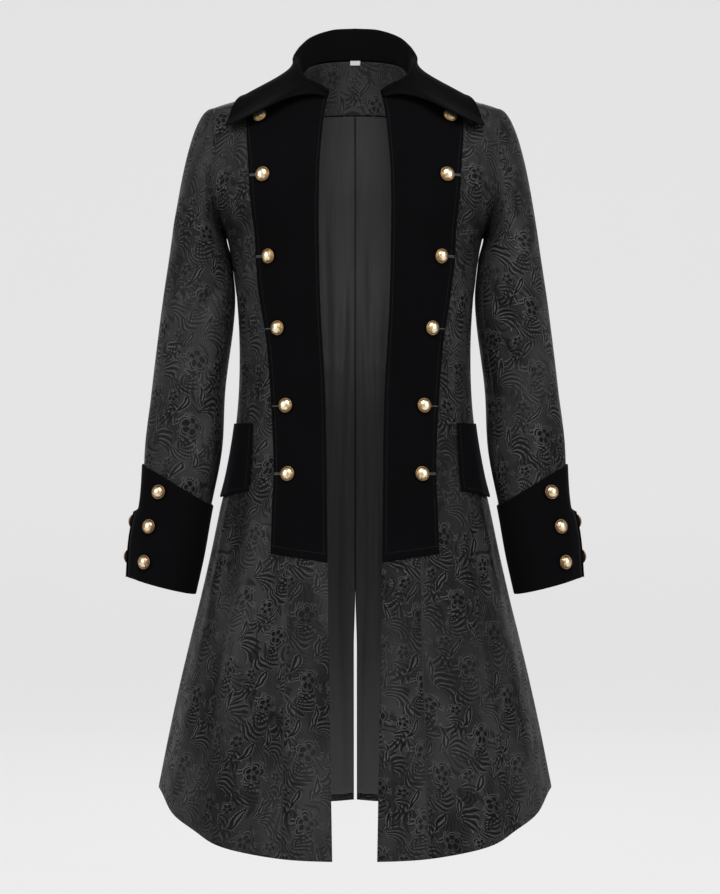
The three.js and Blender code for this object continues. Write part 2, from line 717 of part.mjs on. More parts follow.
// Collar sections, from the neckline up the stand, over the fold and down the fall.
const collarAt = {};
for (const column of ["foldX", "foldY", "foldZ", "edgeX", "edgeY", "edgeZ", "drop", "belly"])
  collarAt[column] = through(COLLAR, "step", column);

// Even steps stand on the corners of the panels' neck edge, odd steps half way between two corners.
function collarSeat(step) {
  if (step % 2 !== 0) return collarSeat(step - 1).add(collarSeat(step + 1)).multiplyScalar(0.5);
  const front = step <= COLLAR_FRONT_STEPS;
  const behind = COLLAR_STEPS - step;
  const { x, z } = front ? frontCentre(step / 2 / FRONT_CENTRE_COLUMNS, 0) : backCentre(behind / 2 / BACK_CENTRE_COLUMNS, 0);
  const { point, normal } = onShell(x, z, front ? FRONT : BACK);
  point.x -= normal.x * (CLOTH / 2);
  point.y -= normal.y * (CLOTH / 2);
  if (step === COLLAR_STEPS) point.x = 0;
  point.z += COLLAR_SEAT;
  return point;
}

const FALL_POINTS = 5;
function collarSection(step) {
  const seat = collarSeat(step);
  const top = new THREE.Vector3(collarAt.foldX(step), collarAt.foldY(step), collarAt.foldZ(step));
  const edge = new THREE.Vector3(collarAt.edgeX(step), collarAt.edgeY(step), collarAt.edgeZ(step));
  const up = top.clone().sub(seat).normalize();
  const out = new THREE.Vector3(edge.x - seat.x, edge.y - seat.y, 0);
  out.addScaledVector(up, -out.dot(up)).normalize();
  const centre = top.clone().addScaledVector(up, -COLLAR_ROLL);
  const inner = centre.clone().addScaledVector(out, -COLLAR_ROLL);
  const outer = centre.clone().addScaledVector(out, COLLAR_ROLL);
  const fall = new THREE.CubicBezierCurve3(
    outer,
    outer.clone().addScaledVector(up, -collarAt.drop(step)),
    edge.clone().lerp(outer, 0.4).addScaledVector(out, collarAt.belly(step)),
    edge,
  );
  const laid = fall.getPoints(FALL_POINTS).map((point, i) => {
    const side = step <= COLLAR_FRONT_STEPS ? FRONT : BACK;
    const z = Math.min(point.z, ridge(point.x, side) - 0.5);
    const normal = outward(point.x, point.y, z, side);
    const rest = COLLAR_REST * smooth(i / FALL_POINTS, 0, 0.6);
    const short = rest - offShell(point, side);
    return short > 0 ? point.addScaledVector(normal, short) : point;
  });
  return [seat, inner, top.clone(), ...laid];
}

const COLLAR_POINTS = collarSection(0).length - 1;
const collarSections = Array.from({ length: COLLAR_STEPS + 1 }, (_, step) => collarSection(step));
function collarPlace(u, v) {
  const signed = Math.round((2 * u - 1) * COLLAR_STEPS);
  const row = Math.round(v * COLLAR_POINTS);
  const grid = (side, point) => {
    const p = collarSections[COLLAR_STEPS - Math.abs(side)][point].clone();
    p.x *= side < 0 ? -1 : 1;
    return p;
  };
  const last = COLLAR_STEPS;
  const along = grid(Math.min(signed + 1, last), row).sub(grid(Math.max(signed - 1, -last), row));
  const down = grid(signed, Math.min(row + 1, COLLAR_POINTS)).sub(grid(signed, Math.max(row - 1, 0)));
  return { point: grid(signed, row), normal: along.cross(down).normalize() };
}

function buttonGeometry() {
  const profile = [
    [0, 0],
    [2.3, 0],
    [2.3, 1.9],
    [BUTTON_RADIUS, 2.6],
    [BUTTON_RADIUS * 0.74, 6.6],
    [0, BUTTON_HEIGHT],
  ];
  return new THREE.LatheGeometry(
    profile.map(([r, h]) => new THREE.Vector2(r, h)),
    10,
  ).rotateX(Math.PI / 2);
}

// A button's own +Z is its axis. It is turned to stand on the cloth.
function button(name, placed, rise, sign) {
  const mesh = new THREE.Mesh(buttonGeometry(), brass);
  mesh.name = name;
  const normal = placed.normal.clone();
  const point = placed.point.clone().addScaledVector(normal, rise);
  normal.x *= sign;
  point.x *= sign;
  mesh.quaternion.setFromUnitVectors(new THREE.Vector3(0, 0, 1), normal);
  mesh.position.copy(point);
  coat.add(mesh);
}

const brocade = new THREE.MeshStandardMaterial({ color: 0x2c2c2c, roughness: 0.55, metalness: 0 });
const velvet = new THREE.MeshStandardMaterial({ color: 0x0c0c0d, roughness: 0.95, metalness: 0 });
const satin = new THREE.MeshStandardMaterial({ color: 0x303030, roughness: 0.5, metalness: 0 });
const brass = new THREE.MeshStandardMaterial({ color: 0xc7a56b, roughness: 0.35, metalness: 1 });
const tape = new THREE.MeshStandardMaterial({ color: 0xe8e8e6, roughness: 0.7, metalness: 0 });

const coat = new THREE.Group();

// Adds a piece on the wearer's left (+X) and its mirror on the right.
function pair(name, geometry, material) {
  for (const [suffix, shape] of [
    ["left", geometry],
    ["right", mirrored(geometry)],
  ]) {
    const mesh = new THREE.Mesh(shape, material);
    mesh.name = `${name}_${suffix}`;
    coat.add(mesh);
  }
}

function single(name, geometry, material) {
  const mesh = new THREE.Mesh(geometry, material);
  mesh.name = name;
  coat.add(mesh);
}

const bodyWall = (columns, face) => wall(columns, BODY_ROWS, (u, v) => face(u, v * BODY_ROWS), 0, -CLOTH);
pair("front_centre", bodyWall(FRONT_CENTRE_COLUMNS, frontCentreFace), brocade);
pair("front_side", bodyWall(FRONT_SIDE_COLUMNS, frontSideFace), brocade);
pair("back_side", turned(bodyWall(BACK_SIDE_COLUMNS, backSideFace)), brocade);
pair("back_centre", turned(bodyWall(BACK_CENTRE_COLUMNS, backCentreFace)), brocade);

const liningTop = -CLOTH - LAYER;
const liningBottom = liningTop - LINING;
pair("back_lining", turned(wall(BACK_CENTRE_COLUMNS, LINING_ROWS, liningPlace, liningTop, liningBottom)), satin);
single("neck_facing", turned(wall(2 * BACK_CENTRE_COLUMNS, 3, facingPlace, liningTop, liningBottom)), brocade);
const labelPlace = (u, v) => onShell(lerp(-0.5, 0.5, u) * LABEL_WIDTH, LABEL_TOP - v * LABEL_HEIGHT, BACK);
const labelTop = liningBottom - 1.1;
single("neck_label", turned(wall(2, 1, labelPlace, labelTop, labelTop - LINING)), tape);

pair("lapel", wall(FRONT_CENTRE_COLUMNS + LAPEL_OUTER_COLUMNS, LAPEL_ROWS, lapelPlace, LAYER + VELVET, LAYER), velvet);
pair("pocket_flap", wall(8, 3, flapPlace, VELVET, 0), velvet);
const collarWall = wall(2 * COLLAR_STEPS, COLLAR_POINTS, collarPlace, COLLAR_CLOTH / 2, -COLLAR_CLOTH / 2);
single("collar", turned(collarWall), velvet);

const seamTurn = 0.2;
const frontSeamAngle = SLEEVE_FRONT_SEAM;
pair(
  "top_sleeve",
  wall(14, HEAD_ROWS + ARM_ROWS, sleevePanel(frontSeamAngle - seamTurn, SLEEVE_BACK_SEAM + seamTurn), 0, -CLOTH),
  brocade,
);
pair(
  "under_sleeve",
  wall(5, HEAD_ROWS + ARM_ROWS, sleevePanel(SLEEVE_BACK_SEAM + 360 - seamTurn, frontSeamAngle + seamTurn), 0, -CLOTH),
  brocade,
);
pair("cuff", turned(wall(26, CUFF_ROWS, cuffPlace, VELVET, 0)), velvet);

for (const [suffix, sign] of [
  ["left", 1],
  ["right", -1],
]) {
  LAPEL_BUTTONS.forEach((spot, i) => {
    const row = rowAt(frontSide, 0.3, spot.z);
    const placed = frontSideFace(shareAt(frontSide, row, spot.x), row);
    button(`lapel_button_${suffix}_${i + 1}`, placed, LAYER + VELVET + BUTTON_GAP, sign);
  });
  CUFF_BUTTONS.forEach((spot, i) => {
    button(`cuff_button_${suffix}_${i + 1}`, onCuff(spot.ring, spot.angle), BUTTON_GAP, sign);
  });
}

export default coat;
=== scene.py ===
# A long velvet-trimmed brocade tailcoat, hollow and filled out as if worn, open down the front.
# Sizes and places are in millimetres and meshes are written in metres. The front faces -Y and the
# wearer's left is +X.
import math

import bpy
import numpy as np
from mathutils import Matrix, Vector


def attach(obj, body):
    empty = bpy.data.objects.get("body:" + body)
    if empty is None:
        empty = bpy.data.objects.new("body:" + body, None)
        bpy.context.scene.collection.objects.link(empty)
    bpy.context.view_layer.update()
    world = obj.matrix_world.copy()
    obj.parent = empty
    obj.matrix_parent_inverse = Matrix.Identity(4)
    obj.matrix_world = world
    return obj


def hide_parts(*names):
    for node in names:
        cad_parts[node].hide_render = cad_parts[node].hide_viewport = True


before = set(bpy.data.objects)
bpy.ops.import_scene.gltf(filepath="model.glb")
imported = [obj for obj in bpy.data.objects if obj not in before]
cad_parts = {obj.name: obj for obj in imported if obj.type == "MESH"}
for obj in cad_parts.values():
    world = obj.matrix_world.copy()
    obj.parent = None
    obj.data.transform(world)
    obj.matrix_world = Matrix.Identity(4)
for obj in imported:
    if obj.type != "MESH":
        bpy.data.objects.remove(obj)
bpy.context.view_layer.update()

MM = 0.001


def table(columns, *rows):
    """A short table with named columns."""
    return {name: np.array([row[i] for row in rows], float) for i, name in enumerate(columns.split())}


# Cloth
CLOTH = 1.6
LINING = 1.0
VELVET = 2.2
LAYER = 0.5
SEAM = 0.04

# Heights and main widths of the cut
CHEST = -228
SKIRT = -500
HEM_SIDE = -1006
HEM_FRONT_DROP = 68
HEM_BACK_DROP = 54
VENT_TOP = -737
VENT_HALF_GAP = 2.2
VENT_OPENS = 90
FACING_BOTTOM = -39
FACING_SIDE_BOTTOM = -62
NECK_HALF = 80
NECK_SIDE_Z = 0.7
SHOULDER_SLOPE = 0.372
SHOULDER_X = 203
SHOULDER_DIP = 4
BACK_NECK_RISE = 140
BACK_NECK_POWER = 1.4

# The worn shell at each height: half width, depth of the front and of the back, power of its section.
SHELL = table(
    "z width front back power",
    (60, 228, 118, 114, 2.2),
    (-45, 228, 121, 114, 2.2),
    (-77, 229, 122, 114, 2.2),
    (-114, 231, 123, 114, 2.2),
    (-150, 225, 124, 114, 2.2),
    (-184, 210, 125, 114, 2.2),
    (-207, 194, 126, 113, 2.2),
    (-228, 181, 126, 112, 2.2),
    (-262, 173.5, 125, 109, 2.2),
    (-300, 168.6, 123, 104, 2.2),
    (-370, 164, 119, 96, 2.2),
    (-440, 164.4, 117, 92, 2.2),
    (-500, 169.5, 121, 97, 2.18),
    (-565, 179.5, 130, 109, 2.14),
    (-607, 189, 137, 118, 2.12),
    (-672, 202, 148, 130, 2.1),
    (-735, 216.5, 158, 142, 2.08),
    (-800, 233, 170, 156, 2.05),
    (-870, 249.5, 182, 170, 2.02),
    (-935, 263.5, 193, 184, 2),
    (-1006, 277.5, 205, 198, 2),
    (-1080, 292, 217, 211, 2),
)

# Where seams and edges run: distance from the centre line at each height.
FRONT_EDGE = table(
    "z x", (-38, 36), (-75, 43), (-160, 49), (-325, 47), (-460, 40), (-672, 37), (-870, 34), (-1075, 30)
)
FRONT_SEAM = table("z x", (-17, 130), (-120, 108), (-228, 98), (-440, 84), (-672, 89), (-1075, 98))
BACK_SEAM = table(
    "z x", (-19, 135), (-120, 118), (-228, 104), (-440, 72), (-607, 84), (-800, 106), (-1075, 130)
)
ARMHOLE = table(
    "z x",
    (-45, 203),
    (-77, 201.5),
    (-114, 199.5),
    (-150, 198.5),
    (-184, 196),
    (-207, 190),
    (-221, 184),
    (-228, 181),
)
LAPEL_EDGE = table(
    "z x",
    (-30, 148),
    (-84, 150),
    (-128, 147),
    (-176, 144),
    (-241, 138),
    (-320, 130.5),
    (-382, 121),
    (-477, 114),
    (-555, 111),
    (-625, 114),
    (-672, 116),
)
UPPER_FRONT_ROWS = 7  # the lapel's top is counted in sevenths of the front above the chest line
LAPEL_TOP = 0.15
LAPEL_TOP_OUTER = 2
LAPEL_BOTTOM_OUTER = -671
LAPEL_BOTTOM_INNER = -681
LAPEL_SEAM_SHARE = 6 / 9  # of the lapel's width lies on the centre panel

# The neckline, from the front edge to the side neck point and from there to the centre back.
FRONT_NECK = table(
    "t x z", (0, 36, -38), (0.25, 48, -31.5), (0.5, 60, -28), (0.75, 72, -19), (0.9, 79, -7), (1, 80, 0.7)
)
BACK_NECK = table(
    "t x z", (0, 80, 0.7), (0.15, 76, 6), (0.35, 66, 22), (0.6, 45, 33), (0.82, 20, 37.3), (1, 0, 38)
)
FRONT_NECK_SHARE = 4 / 6  # of a centre panel's top lies on the neckline, the rest on the shoulder seam
BACK_NECK_SHARE = 5 / 7

# Skirt folds: they reach their full depth at a share of the skirt's length, and lose much of it near
# the side seams, by their angle from the seam and their drop below the waist.
FOLD_COUNT = 15
FOLD_CREST = math.radians(15.5)
FOLD_DEPTH = 5
FOLD_FULL_SHARE = 0.7
FOLD_LOSS = 0.8
FOLD_LOSS_ANGLES = (0.3, 0.75)
FOLD_LOSS_DROPS = (60, 320)
HEM_HALF_WIDTH = 280
HEM_CURVE = (0.1, 1.03)  # cosines of the angles between which the hem drops from side to centre

# Sleeve rings below the arm
SLEEVE = table(
    "z x y wide deep tilt",
    (-262, 219.5, 0, 44.9, 60, 0),
    (-309, 220.7, -1, 50.6, 61, 1),
    (-351, 224.5, -3, 52.1, 61, 3),
    (-437, 234.7, -10, 51.6, 59, 6),
    (-522, 240.7, -22, 53.7, 56, 9),
    (-607, 250.6, -36, 48, 52, 12),
    (-665, 260, -43, 47.6, 49, 13),
    (-719, 268, -48, 44.1, 46, 15),
)
SLEEVE_TOP = -262
SLEEVE_END = -715
SLEEVE_START_GAP = 0.7
SLEEVE_CREASE_TOP = -80  # the height that creases count for the top of the sleeve's head
UNDERARM_ANGLE = 150  # beyond it the sleeve starts a little higher
UNDERARM_LIFT = 0.5
SLEEVE_TURN_RADIUS = 54  # turns degrees round a sleeve into millimetres
SLEEVE_HEAD = table(
    "angle out fore up down",
    (0, 104, 0, -14, 150),
    (45, 72, 10, -12, 130),
    (90, 46, 12, -10, 90),
    (135, 16, 6, -16, 50),
    (180, 5, 0, -20, 34),
)
SLEEVE_FRONT_SEAM = 145
SLEEVE_BACK_SEAM = -115

# Cuffs
CUFF_BOTTOM = -718.5
CUFF_TOP_OUTER = -558
CUFF_TOP_INNER = -597
CUFF_SLIT_TOP = -622
CUFF_SLIT_ANGLE = 8
CUFF_SLIT_HALF = 3.2
CUFF_SLIT_OPENS = 5
CUFF_SLIT_CLOSED_HALF = 0.35
CUFF_LIFT = 0.9
CUFF_FLARE = 7
CUFF_FLARE_IN_FRONT = 4
CUFF_FLARE_REACH = 26

# Pocket flaps
FLAP_FRONT_ANGLE = 55
FLAP_FRONT_ANGLE_BELOW = 51
FLAP_BACK_ANGLE = 118
FLAP_TOP = -492
FLAP_FRONT_HEIGHT = 94
FLAP_SIDE_DROP = 11
FLAP_TOP_LIFT = 0.95
FLAP_LIFT = 1.4

# Collar: step 0 is the front corner, 8 the side neck point and 18 the centre back.
COLLAR = table(
    "step foldX foldY foldZ edgeX edgeY edgeZ drop belly",
    (0, 37.5, -88, -33, 40, -90.5, -41, 2, 0),
    (1, 48, -84, -26, 63, -90, -38, 3, 0),
    (2, 58, -75, -19, 94, -90, -44, 4, 1),
    (3, 69, -64, -12, 134, -95, -63, 6, 14),
    (4, 77, -52, -3, 178, -71, -79, 10, 17),
    (5, 81, -40, 6, 174, -50, -62, 15, 3),
    (6, 83.5, -27, 14, 168, -33, -43, 18, -6),
    (7, 85, -13, 21, 161, -16, -31, 20, -11),
    (8, 86, 2, 29, 154, 1, -27, 22, -12),
    (9, 84, 17, 38, 147, 20, -25, 23, -10),
    (11, 77, 43, 53, 128, 51, -22, 25, 4),
    (13.5, 62, 73, 71, 98, 77, -14, 26, 4),
    (16, 34, 92, 84, 52, 100, 1, 26, 2),
    (18, 0, 98, 87, 0, 108, 8, 26, 1),
)
COLLAR_FRONT_STEPS = 8
COLLAR_STEPS = 18
COLLAR_CLOTH = 2
COLLAR_ROLL = 2.6
COLLAR_SEAT = 1.1
COLLAR_REST = 4.6
FRONT_NECK_STEPS = COLLAR_FRONT_STEPS / FRONT_NECK_SHARE  # collar steps over a whole centre panel
BACK_NECK_STEPS = (COLLAR_STEPS - COLLAR_FRONT_STEPS) / BACK_NECK_SHARE

# Buttons
BUTTON_RADIUS = 10
BUTTON_HEIGHT = 8.6
BUTTON_GAP = 0.4
LAPEL_BUTTONS = table("x z", (130, -68), (125, -151), (116.5, -262), (104, -361), (93, -468), (90, -562))
CUFF_BUTTONS = table("ring angle", (-592, 64), (-641, 57), (-690, 58), (-592, -40), (-641, -11), (-690, -11))

LABEL_WIDTH = 16
LABEL_HEIGHT = 6.5
LABEL_TOP = 39.2

FRONT = -1
BACK = 1
SIDES = (("left", 1), ("right", -1))

# Creases of the worn cloth, uneven from side to side: each is a soft trough (depth below zero) or
# ridge between two points. On the body x is positive on the wearer's left.
BODY_CREASES = table(
    "side x0 z0 x1 z1 half depth",
    (-1, 175, -200, 166, -325, 14, 2.4),
    (1, 175, -200, 166, -325, 14, 2.4),
    (-1, -175, -200, -166, -325, 14, 2.4),
    (1, -175, -200, -166, -325, 14, 2.4),
    (-1, 150, -196, 108, -262, 13, -2.2),
    (-1, 168, -226, 122, -300, 11, 1.8),
    (-1, -154, -204, -116, -256, 12, -2.4),
    (-1, -166, -236, -130, -318, 12, 1.9),
    (-1, 176, -96, 166, -170, 10, -1.6),
    (-1, -180, -110, -160, -186, 11, -1.8),
    (-1, 158, -400, 128, -436, 12, -1.8),
    (-1, 160, -446, 132, -462, 10, -1.5),
    (-1, -158, -418, -126, -448, 12, -2),
    (-1, 72, -520, 78, -1010, 17, 2.4),
    (-1, 108, -640, 118, -1040, 15, -3),
    (-1, 140, -700, 150, -1030, 14, 2.6),
    (-1, -70, -540, -74, -1030, 17, 2.6),
    (-1, -104, -620, -112, -1050, 14, -2.6),
    (-1, -142, -680, -156, -1020, 15, 3),
    (-1, 176, -760, 196, -1010, 16, -3),
    (-1, -180, -740, -204, -1010, 17, -3.2),
    (-1, 44, -700, 46, -1060, 10, -1.6),
    (-1, -48, -760, -50, -1060, 11, -1.8),
    (1, 60, -60, 130, -110, 16, 1.8),
    (1, -52, -70, -136, -124, 15, 1.7),
    (1, 150, -180, 96, -262, 14, -2.4),
    (1, -146, -190, -92, -250, 13, -2.2),
    (1, 20, -400, 110, -430, 13, -1.8),
    (1, -14, -418, -104, -402, 12, -1.6),
    (1, 30, -452, 120, -474, 11, -1.5),
    (1, -24, -462, -116, -480, 11, -1.5),
    (1, 44, -560, 60, -1040, 18, 3),
    (1, 96, -620, 122, -1030, 16, -3.2),
    (1, -48, -540, -58, -1040, 18, 3),
    (1, -92, -640, -116, -1030, 16, -3),
    (1, 158, -700, 184, -1010, 17, 3),
    (1, -152, -720, -190, -1010, 17, 2.8),
)

# On a sleeve: heights along it and angles round it, 0 at the outer side and 90 at the front.
SLEEVE_CREASES = table(
    "sign z0 angle0 z1 angle1 half depth",
    (1, -150, 40, -262, 110, 15, -3.6),
    (1, -214, 24, -320, 122, 13, 3.9),
    (1, -300, 132, -352, 92, 11, -5),
    (1, -346, 30, -404, 108, 12, 3.9),
    (1, -372, 128, -446, 40, 11, -4.8),
    (1, -430, 118, -486, 62, 12, 3.6),
    (1, -462, 100, -530, 128, 12, -3.4),
    (1, -480, 16, -700, 20, 17, 3.1),
    (1, -180, -60, -300, -120, 15, -3.6),
    (1, -330, -50, -400, -128, 13, -4.5),
    (1, -388, -40, -452, -120, 12, 3.6),
    (1, -440, -130, -508, -60, 12, -4.2),
    (1, -560, 70, -700, 76, 14, -2.2),
    (-1, -140, 46, -256, 104, 15, -3.4),
    (-1, -208, 16, -306, 116, 14, 4.2),
    (-1, -292, 128, -344, 84, 12, -5.3),
    (-1, -338, 104, -398, 26, 12, 3.6),
    (-1, -366, 36, -430, 122, 11, -4.5),
    (-1, -418, 60, -474, 124, 12, 3.9),
    (-1, -468, 124, -540, 96, 12, -3.6),
    (-1, -486, 20, -704, 14, 17, 3.4),
    (-1, -190, -66, -310, -116, 15, -3.4),
    (-1, -322, -120, -396, -44, 12, -4.2),
    (-1, -396, -56, -466, -126, 13, 3.9),
    (-1, -450, -50, -520, -122, 12, -4.2),
    (-1, -566, 66, -700, 78, 13, -2.5),
)


def rows_of(columns):
    """The rows of a table, each by its columns' names."""
    return [dict(zip(columns, values)) for values in zip(*columns.values())]


def smooth(value, low, high):
    t = np.clip((value - low) / (high - low), 0, 1)
    return t * t * (3 - 2 * t)


def lerp(a, b, t):
    return a + (b - a) * t


def unit(vectors):
    return vectors / np.maximum(np.linalg.norm(vectors, axis=-1, keepdims=True), 1e-12)


def vectors(x, y, z):
    return np.stack(np.broadcast_arrays(x, y, z), axis=-1).astype(float)


def bend(t, start, leave, end, arrive):
    """A cubic curve from start to end, by its directions where it leaves and where it arrives."""
    return (
        start * (2 * t**3 - 3 * t**2 + 1)
        + leave * (t**3 - 2 * t**2 + t)
        + end * (3 * t**2 - 2 * t**3)
        + arrive * (t**3 - t**2)
    )


def through(rows, by, column):
    """A smooth curve through one column of a table, by another column."""
    order = np.argsort(rows[by])
    at, value = rows[by][order], rows[column][order]
    last = len(at) - 1
    before, after = np.maximum(np.arange(last + 1) - 1, 0), np.minimum(np.arange(last + 1) + 1, last)
    slope = (value[after] - value[before]) / (at[after] - at[before])

    def curve(where):
        where = np.clip(where, at[0], at[-1])
        i = np.searchsorted(at[1:-1], where, side="left")
        span = at[i + 1] - at[i]
        t = (where - at[i]) / span
        return bend(t, value[i], span * slope[i], value[i + 1], span * slope[i + 1])

    return curve


HALVINGS = 26


def solve(rising, target, low, high):
    """Where a rising function of an array reaches the target, by halving."""
    low = np.full(target.shape, low, float)
    high = np.full(target.shape, high, float)
    for _ in range(HALVINGS):
        middle = (low + high) / 2
        short = rising(middle) < target
        low, high = np.where(short, middle, low), np.where(short, high, middle)
    return (low + high) / 2


shell_width, shell_front, shell_back, shell_power = (
    through(SHELL, "z", column) for column in ("width", "front", "back", "power")
)
front_edge, front_seam, back_seam, armhole, lapel_edge = (
    through(edge, "z", "x") for edge in (FRONT_EDGE, FRONT_SEAM, BACK_SEAM, ARMHOLE, LAPEL_EDGE)
)


def ridge(x, side):
    """Height of the shoulder line over a point, carried on up the neck at the back."""
    x = np.abs(x)
    across = np.clip((x - NECK_HALF) / (SHOULDER_X - NECK_HALF), 0, 1)
    line = NECK_SIDE_Z - SHOULDER_SLOPE * (x - NECK_HALF) - SHOULDER_DIP * np.sin(np.pi * across) ** 2
    within = np.maximum(0, 1 - (x / NECK_HALF) ** 2)
    return line + np.where(np.asarray(side) > 0, BACK_NECK_RISE * within**BACK_NECK_POWER, 0)


def inside(x, y, z, side):
    """Zero on the shell, positive inside it."""
    power = shell_power(z)
    depth = np.where(np.asarray(side) < 0, shell_front(z), shell_back(z))
    across = 1 - (np.abs(x) / shell_width(z)) ** power
    climb = np.maximum(0, (z - CHEST) / (ridge(x, side) - CHEST))
    return across * (1 - climb**power) - (np.abs(y) / depth) ** power


def slope_out(x, y, z, side):
    step = 0.5
    return vectors(
        inside(x - step, y, z, side) - inside(x + step, y, z, side),
        inside(x, y - step, z, side) - inside(x, y + step, z, side),
        inside(x, y, z - step, side) - inside(x, y, z + step, side),
    )


def off_shell(point, side):
    """How far a point stands off the shell, near it."""
    x, y, z = point[..., 0], point[..., 1], point[..., 2]
    return -inside(x, y, z, side) / np.linalg.norm(slope_out(x, y, z, side), axis=-1)


def angle_at(x, z, side):
    """Angle round the body of a point on the shell, from the front centre line."""
    quarter = np.arcsin(np.minimum(1, (np.abs(x) / shell_width(z)) ** (shell_power(z) / 2)))
    return np.where(np.asarray(side) < 0, quarter, np.pi - quarter)


def fold(x, z, side):
    """The hanging folds of the skirt, which flatten towards the side seams."""
    angle = angle_at(x, z, FRONT)
    straight = np.arcsin(np.minimum(1, np.abs(x) / HEM_HALF_WIDTH))
    hanging = lerp(angle, straight, np.cos(angle) ** 2)
    around = np.where(np.asarray(side) < 0, hanging, np.pi - hanging)
    reach = smooth(SKIRT - z, 0, FOLD_FULL_SHARE * (SKIRT - HEM_SIDE))
    near_seam = 1 - smooth(np.abs(around - np.pi / 2), *FOLD_LOSS_ANGLES)
    flat = 1 - FOLD_LOSS * near_seam * smooth(SKIRT - z, *FOLD_LOSS_DROPS)
    return FOLD_DEPTH * reach * flat * np.cos(FOLD_COUNT * (around - FOLD_CREST))


def soft_ridge(p, q, first, last, half, depth):
    """Height of one crease at points (p, q): a soft bell across its line, tapering to both ends."""
    (p0, q0), (p1, q1) = first, last
    dp, dq = p1 - p0, q1 - q0
    length = math.hypot(dp, dq)
    along = ((p - p0) * dp + (q - q0) * dq) / length**2
    across = ((p - p0) * dq - (q - q0) * dp) / length
    bow = 0.05 * length * np.sin(np.pi * np.clip(along, 0, 1))
    taper = smooth(along, -0.12, 0.3) * (1 - smooth(along, 0.7, 1.12))
    return depth * taper * np.exp(-(((across - bow) / half) ** 2))


def body_crease(x, z, side, sign):
    height = np.zeros(np.broadcast(x, z).shape)
    for row in rows_of(BODY_CREASES):
        ends = (row["x0"], row["z0"]), (row["x1"], row["z1"])
        on_its_side = np.asarray(side) == row["side"]
        height += on_its_side * soft_ridge(x * sign, z, *ends, row["half"], row["depth"])
    return height


def on_shell(x, z, side, sign, lift=0):
    """A point of the coat's outer face on the wearer's left, with the direction out of the cloth.
    sign says whose creases it takes, 1 for the left side and -1 for the right."""
    power = shell_power(z)
    depth = np.where(np.asarray(side) < 0, shell_front(z), shell_back(z))
    across = np.maximum(0, 1 - (np.abs(x) / shell_width(z)) ** power)
    climb = np.maximum(0, (z - CHEST) / (ridge(x, side) - CHEST))
    up = np.maximum(0, 1 - climb**power)
    y = side * depth * (across * up) ** (1 / power)
    normal = unit(slope_out(x, y, z, side))
    point = vectors(x, y + side * SEAM, z)
    raised = lift + fold(x, z, side) + body_crease(x, z, side, sign) * (across > 0.02)
    return point + normal * np.asarray(raised)[..., None], normal


def around_shell(angle, z, sign, lift=0):
    side = np.where(np.cos(angle) >= 0, FRONT, BACK)
    x = shell_width(z) * np.abs(np.sin(angle)) ** (2 / shell_power(z))
    return on_shell(x, z, side, sign, lift)


def hem(x, z, side):
    drop = HEM_FRONT_DROP if side == FRONT else HEM_BACK_DROP
    return HEM_SIDE - drop * smooth(np.abs(np.cos(angle_at(x, z, side))), *HEM_CURVE)


def panel(side, inner, outer, top):
    """Where a point of a panel lies in the frontal plane, by its share u of the width and by v: 0 at
    the top, 1 at the chest line and 2 at the hem."""

    def between(u, z):
        angle = lerp(angle_at(inner(z), z, side), angle_at(outer(z), z, side), u)
        return shell_width(z) * np.sin(angle) ** (2 / shell_power(z))

    def at(u, v):
        u, v = np.broadcast_arrays(np.asarray(u, float), np.asarray(v, float))
        t = 1 - np.cos(np.clip(v, 0, 1) * np.pi / 2)
        start_x, start_z = top(u)
        first_x, first_z = top(np.zeros_like(u))
        last_x, last_z = top(np.ones_like(u))
        inner_pull = inner(lerp(first_z, CHEST, t)) - lerp(first_x, inner(CHEST), t)
        outer_pull = outer(lerp(last_z, CHEST, t)) - lerp(last_x, outer(CHEST), t)
        upper_x = lerp(start_x, between(u, CHEST), t) + (1 - u) * inner_pull + u * outer_pull
        upper_z = lerp(start_z, CHEST, t)
        level = lerp(CHEST, HEM_SIDE, np.clip(v - 1, 0, 1))
        share = smooth(SKIRT - level, 0, SKIRT - HEM_SIDE)
        lower_z = level + (hem(between(u, HEM_SIDE), HEM_SIDE, side) - HEM_SIDE) * share
        lower_x = between(u, lower_z)
        return np.where(v <= 1, upper_x, lower_x), np.where(v <= 1, upper_z, lower_z)

    return at


def neck_and_shoulder(neck, share, reverse, seam_x):
    """The top of a centre panel: the neckline, then the shoulder seam out to the panel's seam."""
    neck_x, neck_z = through(neck, "t", "x"), through(neck, "t", "z")

    def top(u):
        t = np.clip(u / share, 0, 1)
        t = 1 - t if reverse else t
        x = lerp(NECK_HALF, seam_x, (u - share) / (1 - share))
        return np.where(u <= share, neck_x(t), x), np.where(u <= share, neck_z(t), ridge(x, FRONT))

    return top


def shoulder(from_x):
    """The top of a side panel: the shoulder seam, from the panel's seam out to the armhole."""

    def top(u):
        x = lerp(from_x, SHOULDER_X, u)
        return x, ridge(x, FRONT)

    return top


FRONT_SHOULDER_SEAM = 130
BACK_SHOULDER_SEAM = 135


def to_side(z):
    return np.where(z > CHEST, armhole(z), shell_width(z))


def vent_gap(z):
    """Half the gap at the centre back, which opens below the vent's top."""
    return lerp(SEAM, VENT_HALF_GAP, smooth(VENT_TOP - z, 0, VENT_OPENS))


front_centre = panel(
    FRONT,
    front_edge,
    lambda z: front_seam(z) - SEAM,
    neck_and_shoulder(FRONT_NECK, FRONT_NECK_SHARE, False, FRONT_SHOULDER_SEAM - SEAM),
)
front_side = panel(FRONT, lambda z: front_seam(z) + SEAM, to_side, shoulder(FRONT_SHOULDER_SEAM + SEAM))
back_side = panel(BACK, lambda z: back_seam(z) + SEAM, to_side, shoulder(BACK_SHOULDER_SEAM + SEAM))
back_centre = panel(
    BACK,
    vent_gap,
    lambda z: back_seam(z) - SEAM,
    neck_and_shoulder(BACK_NECK, BACK_NECK_SHARE, True, BACK_SHOULDER_SEAM - SEAM),
)


